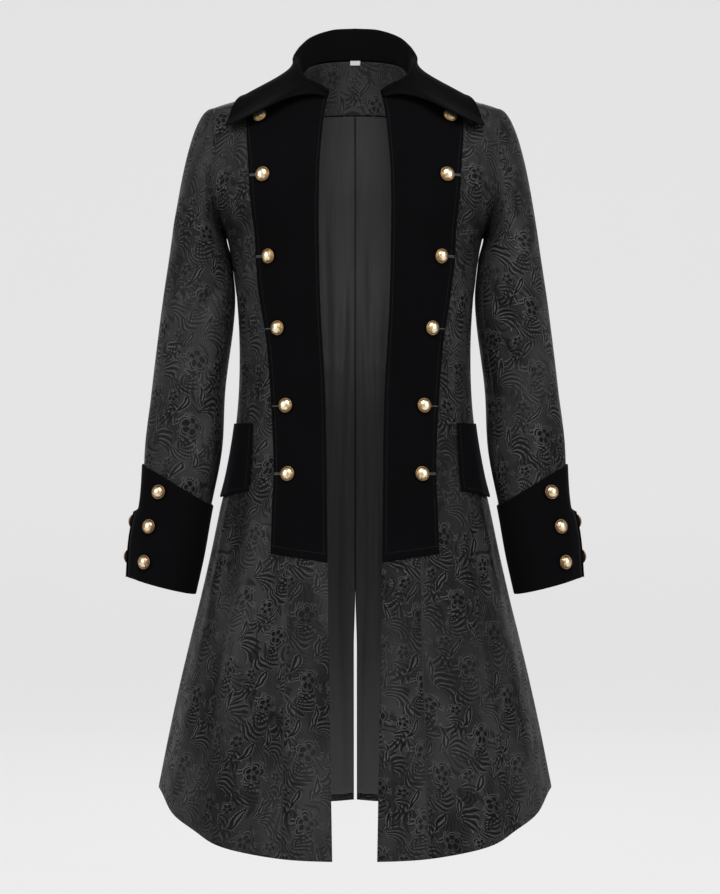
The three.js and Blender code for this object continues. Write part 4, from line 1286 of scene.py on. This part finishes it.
# The facing: the coat's brocade again with a lighter ground and figure, as painted light on the facing inside
# the neck.
facing_brocade_painted_lighter = brocade_finish("facing_brocade_painted_lighter", grey(0.05), grey(0.016), grey(0.09), 0.4)
velvet = velvet_finish("velvet", (0.0012, 0.0012, 0.0015))
collar_velvet = velvet_finish("collar_velvet", (0.0013, 0.0013, 0.0014))
satin = satin_finish()
tape = tape_finish()
gold = button_finish("pale_gold", (1.0, 0.87, 0.6), (0.34, 0.21, 0.09), 0.31, 0.2)
bronze = button_finish("antique_bronze", (0.95, 0.74, 0.48), (0.2, 0.12, 0.065), 0.3, 0.25)
grey_thread = thread_finish("grey_thread", (0.085, 0.085, 0.088))
dark_thread = thread_finish("dark_thread", (0.006, 0.006, 0.0063))
# Near-black beads of painted shade that lie in the seams between panels and round the armholes.
seam_shade_dark = thread_finish("seam_shade_dark", grey(0.0015))

# The pieces that each piece lies on.
FOLLOWS = {
    "back_lining_cloth": ["back_panel"],
    "front_lapel": ["front_panel", "front_side_panel"],
    "flap_over_pocket": ["front_side_panel", "back_side_panel"],
    "turned_cuff": ["sleeve_top", "sleeve_under"],
}


def finish_piece(piece, nodes, material):
    """Gives a piece its finish, hangs it under the root and hides the solids it stands for."""
    piece.data.materials.clear()
    piece.data.materials.append(material)
    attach(piece, "root")
    if nodes:
        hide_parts(*nodes)


def sew(name, node, suffix, place, grid, wall, sign=1, **layout):
    """Makes a cloth piece on one side, or in the middle where there is no suffix, gives it its finish
    and hides the solid it stands for."""
    slot, material, top, bottom = wall
    ending = f"_{suffix}" if suffix else ""
    piece = cloth(name + ending, place, *grid, top, bottom, sign, **layout)
    finish_piece(piece, [node + ending], material)
    lies_on = [other + ending for other in FOLLOWS.get(name, [])]


TURN = 0.06  # degrees from a sleeve seam
top_sleeve_place = sleeve_place(SLEEVE_FRONT_SEAM - TURN, SLEEVE_BACK_SEAM + TURN)
under_sleeve_place = sleeve_place(SLEEVE_BACK_SEAM + 360 - TURN, SLEEVE_FRONT_SEAM + TURN)

# Each wall's slot and finish, and where its outer and inner faces lie off the surface it follows.
LINING_TOP = -CLOTH - LAYER
LINING_BOTTOM = LINING_TOP - LINING
LABEL_OUT = LINING_BOTTOM - 1.1
LABEL_IN = LABEL_OUT - 0.6
BROCADE_WALL = ("brocade", brocade, 0, -CLOTH)
VELVET_WALL = ("velvet", velvet, VELVET, 0)
LAPEL_WALL = ("velvet", velvet, LAYER + VELVET, LAYER)
COLLAR_WALL = ("velvet", collar_velvet, COLLAR_CLOTH / 2, -COLLAR_CLOTH / 2)
FACING_WALL = ("brocade", facing_brocade_painted_lighter, LINING_TOP, LINING_BOTTOM)
LINING_WALL = ("lining_satin", satin, LINING_TOP, LINING_BOTTOM)
LABEL_WALL = ("label_tape", tape, LABEL_OUT, LABEL_IN)

# The body's panels: name, solid, cut, side of the body, columns of the grid and place of the pattern.
BODY_PANELS = (
    ("front_panel", "front_centre", front_centre, FRONT, 34, (0, 0)),
    ("front_side_panel", "front_side", front_side, FRONT, 60, (23, 31)),
    ("back_side_panel", "back_side", back_side, BACK, 56, (41, 12)),
    ("back_panel", "back_centre", back_centre, BACK, 44, (9, 50)),
)
BODY_ROWS = 204
CHEST_SHARE = 0.5  # of a body panel's rows lie above the chest line
SIDE_SHIFT = 29  # of the pattern, from the left half of the coat to the right

for suffix, sign in SIDES:
    for name, node, at, side, columns, (shift_x, shift_y) in BODY_PANELS:
        place, grid = panel_place(at, side), (columns, BODY_ROWS)
        shift = (shift_x + (SIDE_SHIFT if sign < 0 else 0), shift_y)
        sew(name, node, suffix, place, grid, BROCADE_WALL, sign, shift=shift, level=CHEST_SHARE)
    sew("back_lining_cloth", "back_lining", suffix, lining_place, (44, 150), LINING_WALL, sign, grain=0)
    sew("front_lapel", "lapel", suffix, lapel_place, (44, 160), LAPEL_WALL, sign)
    sew("flap_over_pocket", "pocket_flap", suffix, flap_place, (64, 26), VELVET_WALL, sign)
    for name, node, place, columns, shift in (
        ("sleeve_top", "top_sleeve", top_sleeve_place, 80, (12, 40 + 7 * sign)),
        ("sleeve_under", "under_sleeve", under_sleeve_place, 30, (50, 5)),
    ):
        grid = (columns, 150)
        sew(name, node, suffix, place, grid, BROCADE_WALL, sign, shift=shift, level=SLEEVE_HEAD_SHARE)
    sew("turned_cuff", "cuff", suffix, cuff_place, (144, 44), VELVET_WALL, sign)
sew("neck_facing_cloth", "neck_facing", "", facing_place, (90, 24), FACING_WALL)
sew("collar_leaf", "collar", "", collar_place, (210, 58), COLLAR_WALL)
sew("blank_label", "neck_label", "", label_place, (24, 10), LABEL_WALL)


BUTTON_SEGMENTS = 36


def turned_mesh(name, point, normal, profile):
    """A turned piece whose axis stands on the cloth. profile is radius and height, from its foot up."""
    segments = BUTTON_SEGMENTS
    across = unit(np.cross((0.0, 0.0, 1.0), normal))
    up = np.cross(normal, across)
    angles = np.linspace(0, 2 * math.pi, segments, endpoint=False)
    around = across * np.cos(angles)[:, None] + up * np.sin(angles)[:, None]
    rings = [point + normal * height + radius * around for radius, height in profile[1:-1]]
    points = np.concatenate([[point + normal * profile[0][1]], *rings, [point + normal * profile[-1][1]]])
    faces = []
    for k in range(segments):
        following = (k + 1) % segments
        faces.append([0, 1 + following, 1 + k])
        for low in range(1, 1 + (len(rings) - 1) * segments, segments):
            high = low + segments
            faces.append([low + k, low + following, high + following, high + k])
        last = 1 + (len(rings) - 1) * segments
        faces.append([last + k, last + following, len(points) - 1])
    radii = [0, *np.repeat([radius for radius, height in profile[1:-1]], segments), 0]
    return mesh_of(name, points, faces, np.stack([radii, points @ normal], axis=-1))


REAR_SHANK = 3.5  # the cuff buttons behind the slit hang this much further out on their shanks
BUTTON_BACK = 2.6
SHANK_RADIUS = 2.3
ROLL_POINTS = 7
DOME_POINTS = 10


def button_profile(rim, hangs=0):
    """A shank, a flat back, a rolled rim and a dome."""
    back, height = BUTTON_BACK + hangs, BUTTON_HEIGHT + hangs
    foot = back + rim
    turns = np.linspace(0, math.pi, ROLL_POINTS)
    roll = [(BUTTON_RADIUS - rim + rim * math.sin(a), foot - rim * math.cos(a)) for a in turns]
    reach = BUTTON_RADIUS - 1.6 * rim
    turns = np.linspace(0, math.pi / 2, DOME_POINTS + 1)[:-1]
    dome = [(reach * math.cos(a), foot + (height - foot) * math.sin(a)) for a in turns]
    return [(0, 0), (SHANK_RADIUS, 0), (SHANK_RADIUS, back), *roll, *dome, (0, height)]


def sew_button(name, node, slot, metal, spot, sign, profile):
    point, normal = spot
    turn = np.array([sign, 1, 1])
    piece = turned_mesh(name, (point + normal * BUTTON_GAP) * turn, normal * turn, profile)
    finish_piece(piece, [node], metal)


for suffix, sign in SIDES:
    for i, row in enumerate(rows_of(LAPEL_BUTTONS)):
        ending = f"{suffix}_{i + 1}"
        spot = on_shell(row["x"], row["z"], FRONT, sign, LAYER + VELVET)
        names = (f"gilt_button_{ending}", f"lapel_button_{ending}", "lapel_button_metal")
        sew_button(*names, gold, spot, sign, button_profile(0.5))
    for i, row in enumerate(rows_of(CUFF_BUTTONS)):
        ending = f"{suffix}_{i + 1}"
        spot = on_cuff(row["ring"], row["angle"], sign)
        hangs = REAR_SHANK if row["angle"] < CUFF_SLIT_ANGLE else 0
        names = (f"bronze_button_{ending}", f"cuff_button_{ending}", "cuff_button_metal")
        sew_button(*names, bronze, spot, sign, button_profile(0.8, hangs))


def stitch_tree():
    """Stitches laid end to end along a line: their spacing, length and thickness are inputs."""
    tree = bpy.data.node_groups.new("stitches_along_line", "GeometryNodeTree")
    face = tree.interface
    face.new_socket("Line", in_out="INPUT", socket_type="NodeSocketGeometry")
    for name, value in (("Spacing", 0.003), ("Length", 0.0024), ("Thickness", 0.0004)):
        face.new_socket(name, in_out="INPUT", socket_type="NodeSocketFloat").default_value = value
    face.new_socket("Thread", in_out="INPUT", socket_type="NodeSocketMaterial")
    face.new_socket("Stitches", in_out="OUTPUT", socket_type="NodeSocketGeometry")

    def add(kind, settings=None, inputs=None):
        node = tree.nodes.new(kind)
        for key, value in (settings or {}).items():
            setattr(node, key, value)
        for key, value in (inputs or {}).items():
            if isinstance(value, bpy.types.NodeSocket):
                tree.links.new(value, node.inputs[key])
            else:
                node.inputs[key].default_value = value
        return node.outputs

    entry = add("NodeGroupInput")
    curve = add("GeometryNodeMeshToCurve", None, {"Mesh": entry["Line"]})["Curve"]
    spaced = {"Curve": curve, "Length": entry["Spacing"]}
    points = add("GeometryNodeCurveToPoints", {"mode": "LENGTH"}, spaced)
    bead = add("GeometryNodeMeshUVSphere", None, {"Segments": 6, "Rings": 3, "Radius": 0.5})["Mesh"]
    sides = {0: entry["Thickness"], 1: entry["Thickness"], 2: entry["Length"]}
    size = add("ShaderNodeCombineXYZ", None, sides)["Vector"]
    laid = {"Points": points["Points"], "Instance": bead, "Rotation": points["Rotation"], "Scale": size}
    placed = add("GeometryNodeInstanceOnPoints", None, laid)["Instances"]
    real = add("GeometryNodeRealizeInstances", None, {"Geometry": placed})["Geometry"]
    painted = {"Geometry": real, "Material": entry["Thread"]}
    sewn = add("GeometryNodeSetMaterial", None, painted)["Geometry"]
    add("NodeGroupOutput", None, {"Stitches": sewn})
    return tree


stitches_along_line = stitch_tree()


def stitched(name, lines, spacing, length, thickness, thread, slot):
    """Sews stitches along some lines of points, in millimetres, as one piece."""
    points = np.concatenate(lines) * MM
    starts = np.cumsum([0] + [len(line) for line in lines])
    edges = [(i, i + 1) for a, b in zip(starts, starts[1:]) for i in range(a, b - 1)]
    mesh = bpy.data.meshes.new(name)
    mesh.from_pydata(points.tolist(), edges, [])
    guide = in_scene(name + "_guide", mesh)
    sewing = guide.modifiers.new("stitches", "NODES")
    sewing.node_group = stitches_along_line
    values = {"Spacing": spacing * MM, "Length": length * MM, "Thickness": thickness * MM, "Thread": thread}
    for item in stitches_along_line.interface.items_tree:
        if item.item_type == "SOCKET" and item.in_out == "INPUT" and item.name in values:
            sewing[item.identifier] = values[item.name]
    evaluated = guide.evaluated_get(bpy.context.evaluated_depsgraph_get())
    made = bpy.data.meshes.new_from_object(evaluated)
    made.name = name
    made.shade_smooth()
    bpy.data.objects.remove(guide)
    finish_piece(in_scene(name, made), [], thread)


def line_on(place, u, v, sign, lift):
    """A line of points on a piece, lifted off it, for shares u and v of its width and height."""
    u, v = np.broadcast_arrays(np.asarray(u, float), np.asarray(v, float))
    point, normal = place(u[None, :], v[None, :], sign)
    return (point + normal * lift)[0] * (sign, 1, 1)


def share_across(place, v, sign, inset):
    """The share of a piece's width that lies an inset from its edge, at each of some heights."""
    grid = place(*np.meshgrid(np.linspace(0, 1, 40), v), sign)[0]
    return inset / lengths(grid, 1)[:, -1]


def share_down(place, u, sign, inset):
    """The share of a piece's height that lies an inset from its edge, at each of some widths."""
    grid = place(*np.meshgrid(u, np.linspace(0, 1, 40)), sign)[0]
    return inset / lengths(grid, 0)[-1, :]


STITCH_INSET = 5
HEM_INSET = 14
SEAM_INSET = 2.2
LABEL_INSET = 0.7
FRONT_EDGE_INSETS = (4, 9)
LINE_POINTS = 160

# Top stitches stand apart. The near-black beads along the seams overlap into one line of painted shade.
STITCH = {"spacing": 3.2, "length": 2.6, "thickness": 0.45}
SEAM_SHADE_BEADS = {"spacing": 3.2, "length": 5.8, "thickness": 2.6}
ARMHOLE_SHADE_BEADS = {"spacing": 2.8, "length": 5.2, "thickness": 3.6}
LABEL_STITCH = {"spacing": 1.0, "length": 0.8, "thickness": 0.25}
SUNK = -0.05  # a stitch lies half in the pile
SEAM_SUNK = -0.7
ARMHOLE_SUNK = -1.3


def edge_lines(place, sign, top, inset=STITCH_INSET, sides=("left", "right", "below")):
    """Lines of stitches that follow a piece's edges inside them."""
    ends = np.linspace(0, 1, LINE_POINTS)
    above = share_down(place, ends, sign, inset)
    v = np.linspace(above[0], 1 - above[0], LINE_POINTS)
    left = np.interp(v, ends, share_across(place, ends, sign, inset))
    u = np.linspace(left[0], 1 - left[0], LINE_POINTS)
    drop = np.interp(u, ends, above)
    runs = {"left": (left, v), "right": (1 - left, v), "below": (u, 1 - drop), "above": (u, drop)}
    return [line_on(place, *run, sign, top) for edge, run in runs.items() if edge in sides]


BAR_EDGE = 1.6  # a buttonhole ends this far from the lapel's outer edge
BAR_WIDTH = 1.9
BAR_STITCH = {"spacing": BAR_WIDTH, "length": BAR_WIDTH, "thickness": 0.6}
BAR_SPACING = 0.55
BARS_FROM = 1  # the first button has none: it lies under the collar

front_place, front_side_place, back_side_place, back_place = (
    panel_place(at, side) for name, node, at, side, columns, shift in BODY_PANELS
)


def velvet_lines(sign):
    """Top stitching round the lapel, the flap and the ends of the cuff."""
    lines = edge_lines(lapel_place, sign, LAYER + VELVET + SUNK)
    lines += edge_lines(flap_place, sign, VELVET + SUNK)
    return lines + edge_lines(cuff_place, sign, VELVET + SUNK, sides=("left", "right"))


def brocade_lines(sign):
    """Top stitching along the hem, the front edge below the lapel and both sides of the front seam."""
    lines = []
    for place in (front_place, front_side_place, back_side_place, back_place):
        lines += edge_lines(place, sign, SUNK, HEM_INSET, ("below",))
    v = np.linspace(0.8, 0.985, LINE_POINTS)
    for inset in FRONT_EDGE_INSETS:
        lines.append(line_on(front_place, share_across(front_place, v, sign, inset), v, sign, SUNK))
    v = np.linspace(0.05, 0.985, 400)
    outside = share_across(front_side_place, v, sign, SEAM_INSET)
    lines.append(line_on(front_side_place, outside, v, sign, SUNK))
    within = 1 - share_across(front_place, v, sign, SEAM_INSET)
    lines.append(line_on(front_place, within, v, sign, SUNK))
    return lines


def seam_shade_lines(sign):
    """Painted shade along the pressed seams between the body's panels, laid as near-black beads. The left
    side has the one at the centre back.
    """
    v = np.linspace(0.02, 0.995, 500)
    front_seams = [(front_place, 1), (front_side_place, 0), (front_side_place, 1)]
    seams = front_seams + [(back_side_place, 0), (back_place, 1)]
    lines = [line_on(place, edge, v, sign, SEAM_SUNK) for place, edge in seams]
    if sign > 0:
        above_vent = np.linspace(0.01, level_at(back_centre, 0, VENT_TOP) / 2, 300)
        lines.append(line_on(back_place, 0, above_vent, sign, SEAM_SUNK) * (0, 1, 1))
    return lines


# Painted shade at the armholes: near-black beads round the tops of both sleeves and down the side panels'
# edges.
def armhole_shade_lines(sign):
    round_it, down_it = np.linspace(0, 1, 200), np.linspace(0, 0.5, 200)
    sleeves, panels = (top_sleeve_place, under_sleeve_place), (front_side_place, back_side_place)
    lines = [line_on(place, round_it, 0.001, sign, ARMHOLE_SUNK) for place in sleeves]
    return lines + [line_on(place, 1, down_it, sign, ARMHOLE_SUNK) for place in panels]


def buttonhole_bars(sign):
    """The worked bar of each buttonhole, from under its button to near the lapel's edge."""
    bars = []
    for row in rows_of(LAPEL_BUTTONS)[BARS_FROM:]:
        x, z = row["x"], row["z"]
        ends_z = np.array([z - BAR_WIDTH / 2, z + BAR_WIDTH / 2])
        for bar_x in np.arange(x + BUTTON_RADIUS - 1, lapel_edge(z) - BAR_EDGE, BAR_SPACING):
            point, normal = on_shell(np.full(2, bar_x), ends_z, FRONT, sign, LAYER + VELVET + 0.1)
            bars.append(point * (sign, 1, 1))
    return bars


for suffix, sign in SIDES:
    for name, lines_of, stitch, thread, slot in (
        ("velvet_top_stitching", velvet_lines, STITCH, dark_thread, "velvet"),
        ("brocade_top_stitching", brocade_lines, STITCH, dark_thread, "brocade"),
        ("seam_shade_beads", seam_shade_lines, SEAM_SHADE_BEADS, seam_shade_dark, "brocade"),
        ("armhole_shade_beads", armhole_shade_lines, ARMHOLE_SHADE_BEADS, seam_shade_dark, "brocade"),
        ("buttonhole_stitches", buttonhole_bars, BAR_STITCH, grey_thread, "velvet"),
    ):
        stitched(f"{name}_{suffix}", lines_of(sign), thread=thread, slot=slot, **stitch)

label_lines = edge_lines(label_place, 1, LABEL_IN - 0.05, LABEL_INSET, ("left", "right", "below", "above"))
stitched("label_stitches", label_lines, thread=grey_thread, slot="label_tape", **LABEL_STITCH)


# Surroundings: a pale curved backdrop that is also the floor, and soft light.
FLOOR = -1.62
BACKDROP_Y = 6.0
BACKDROP_GLOW = 0.67


def backdrop():
    half, bend, height = 9.0, 0.9, 7.0
    path = [(-8.0, FLOOR), (BACKDROP_Y - bend, FLOOR)]
    path += [
        (BACKDROP_Y - bend + bend * math.sin(a), FLOOR + bend - bend * math.cos(a))
        for a in np.linspace(0, math.pi / 2, 13)[1:]
    ]
    path.append((BACKDROP_Y, FLOOR + height))
    points = [(x / MM, y / MM, z / MM) for y, z in path for x in (-half, half)]
    faces = [[2 * i, 2 * i + 1, 2 * i + 3, 2 * i + 2] for i in range(len(path) - 1)]
    sheet = mesh_of("studio_backdrop", np.array(points), faces)
    paper = Finish("backdrop_paper")
    grain = paper.noise(paper.object_place(), 3.0, 2.0)
    colour = paper.blend(grain, rgba(grey(0.15)), rgba(grey(0.16)))
    white = rgba(grey(1.0))
    sheet.data.materials.append(
        paper.surface(Base_Color=colour, Roughness=0.9, Emission_Color=white, Emission_Strength=BACKDROP_GLOW)
    )


backdrop()


def area_light(name, place, target, size, power):
    """A soft box that faces a target."""
    light = bpy.data.lights.new(name, "AREA")
    light.shape = "RECTANGLE"
    light.size, light.size_y = size
    light.energy = power
    lamp = in_scene(name, light)
    direction = Vector(target) - Vector(place)
    lamp.location = place
    lamp.rotation_euler = direction.to_track_quat("-Z", "Y").to_euler()


area_light("key_softbox", (0.1, -2.6, 2.3), (0, 0, -0.5), (2.2, 1.4), 95)
area_light("left_softbox", (-3.0, -2.0, 0.5), (0, 0, -0.4), (1.4, 2.2), 50)
area_light("right_softbox", (3.0, -2.0, 0.5), (0, 0, -0.4), (1.4, 2.2), 50)
area_light("back_softbox", (0.0, 4.0, 1.8), (0, 0, -0.5), (2.4, 1.2), 60)
area_light("low_front_softbox", (0.0, -3.6, 0.9), (0, 0, -0.2), (0.8, 0.8), 9)

# The world lights the coat softly, and looks as pale as the backdrop where the camera sees past it.
SKY_LIGHT = 0.2
SKY_SEEN = 0.77

world = bpy.data.worlds.new("studio")
bpy.context.scene.world = world
world.use_nodes = True
sky = world.node_tree
background = sky.nodes["Background"]
background.inputs["Color"].default_value = rgba(grey(1))
seen = sky.nodes.new("ShaderNodeLightPath")
brightness = sky.nodes.new("ShaderNodeMapRange")
brightness.inputs["To Min"].default_value = SKY_LIGHT
brightness.inputs["To Max"].default_value = SKY_SEEN
sky.links.new(seen.outputs["Is Camera Ray"], brightness.inputs["Value"])
sky.links.new(brightness.outputs["Result"], background.inputs["Strength"])

# Camera: level, 3.1 m in front of the coat and in line with its waist.
camera_data = bpy.data.cameras.new("camera")
camera_data.lens = 87.9
camera_data.sensor_width = 36
camera_data.clip_end = 60
camera = in_scene("camera", camera_data)
camera.location = (0.007, -3.1, -0.525)
camera.rotation_euler = (math.pi / 2, 0, 0)
bpy.context.scene.camera = camera
bpy.context.scene.view_settings.view_transform = "Standard"
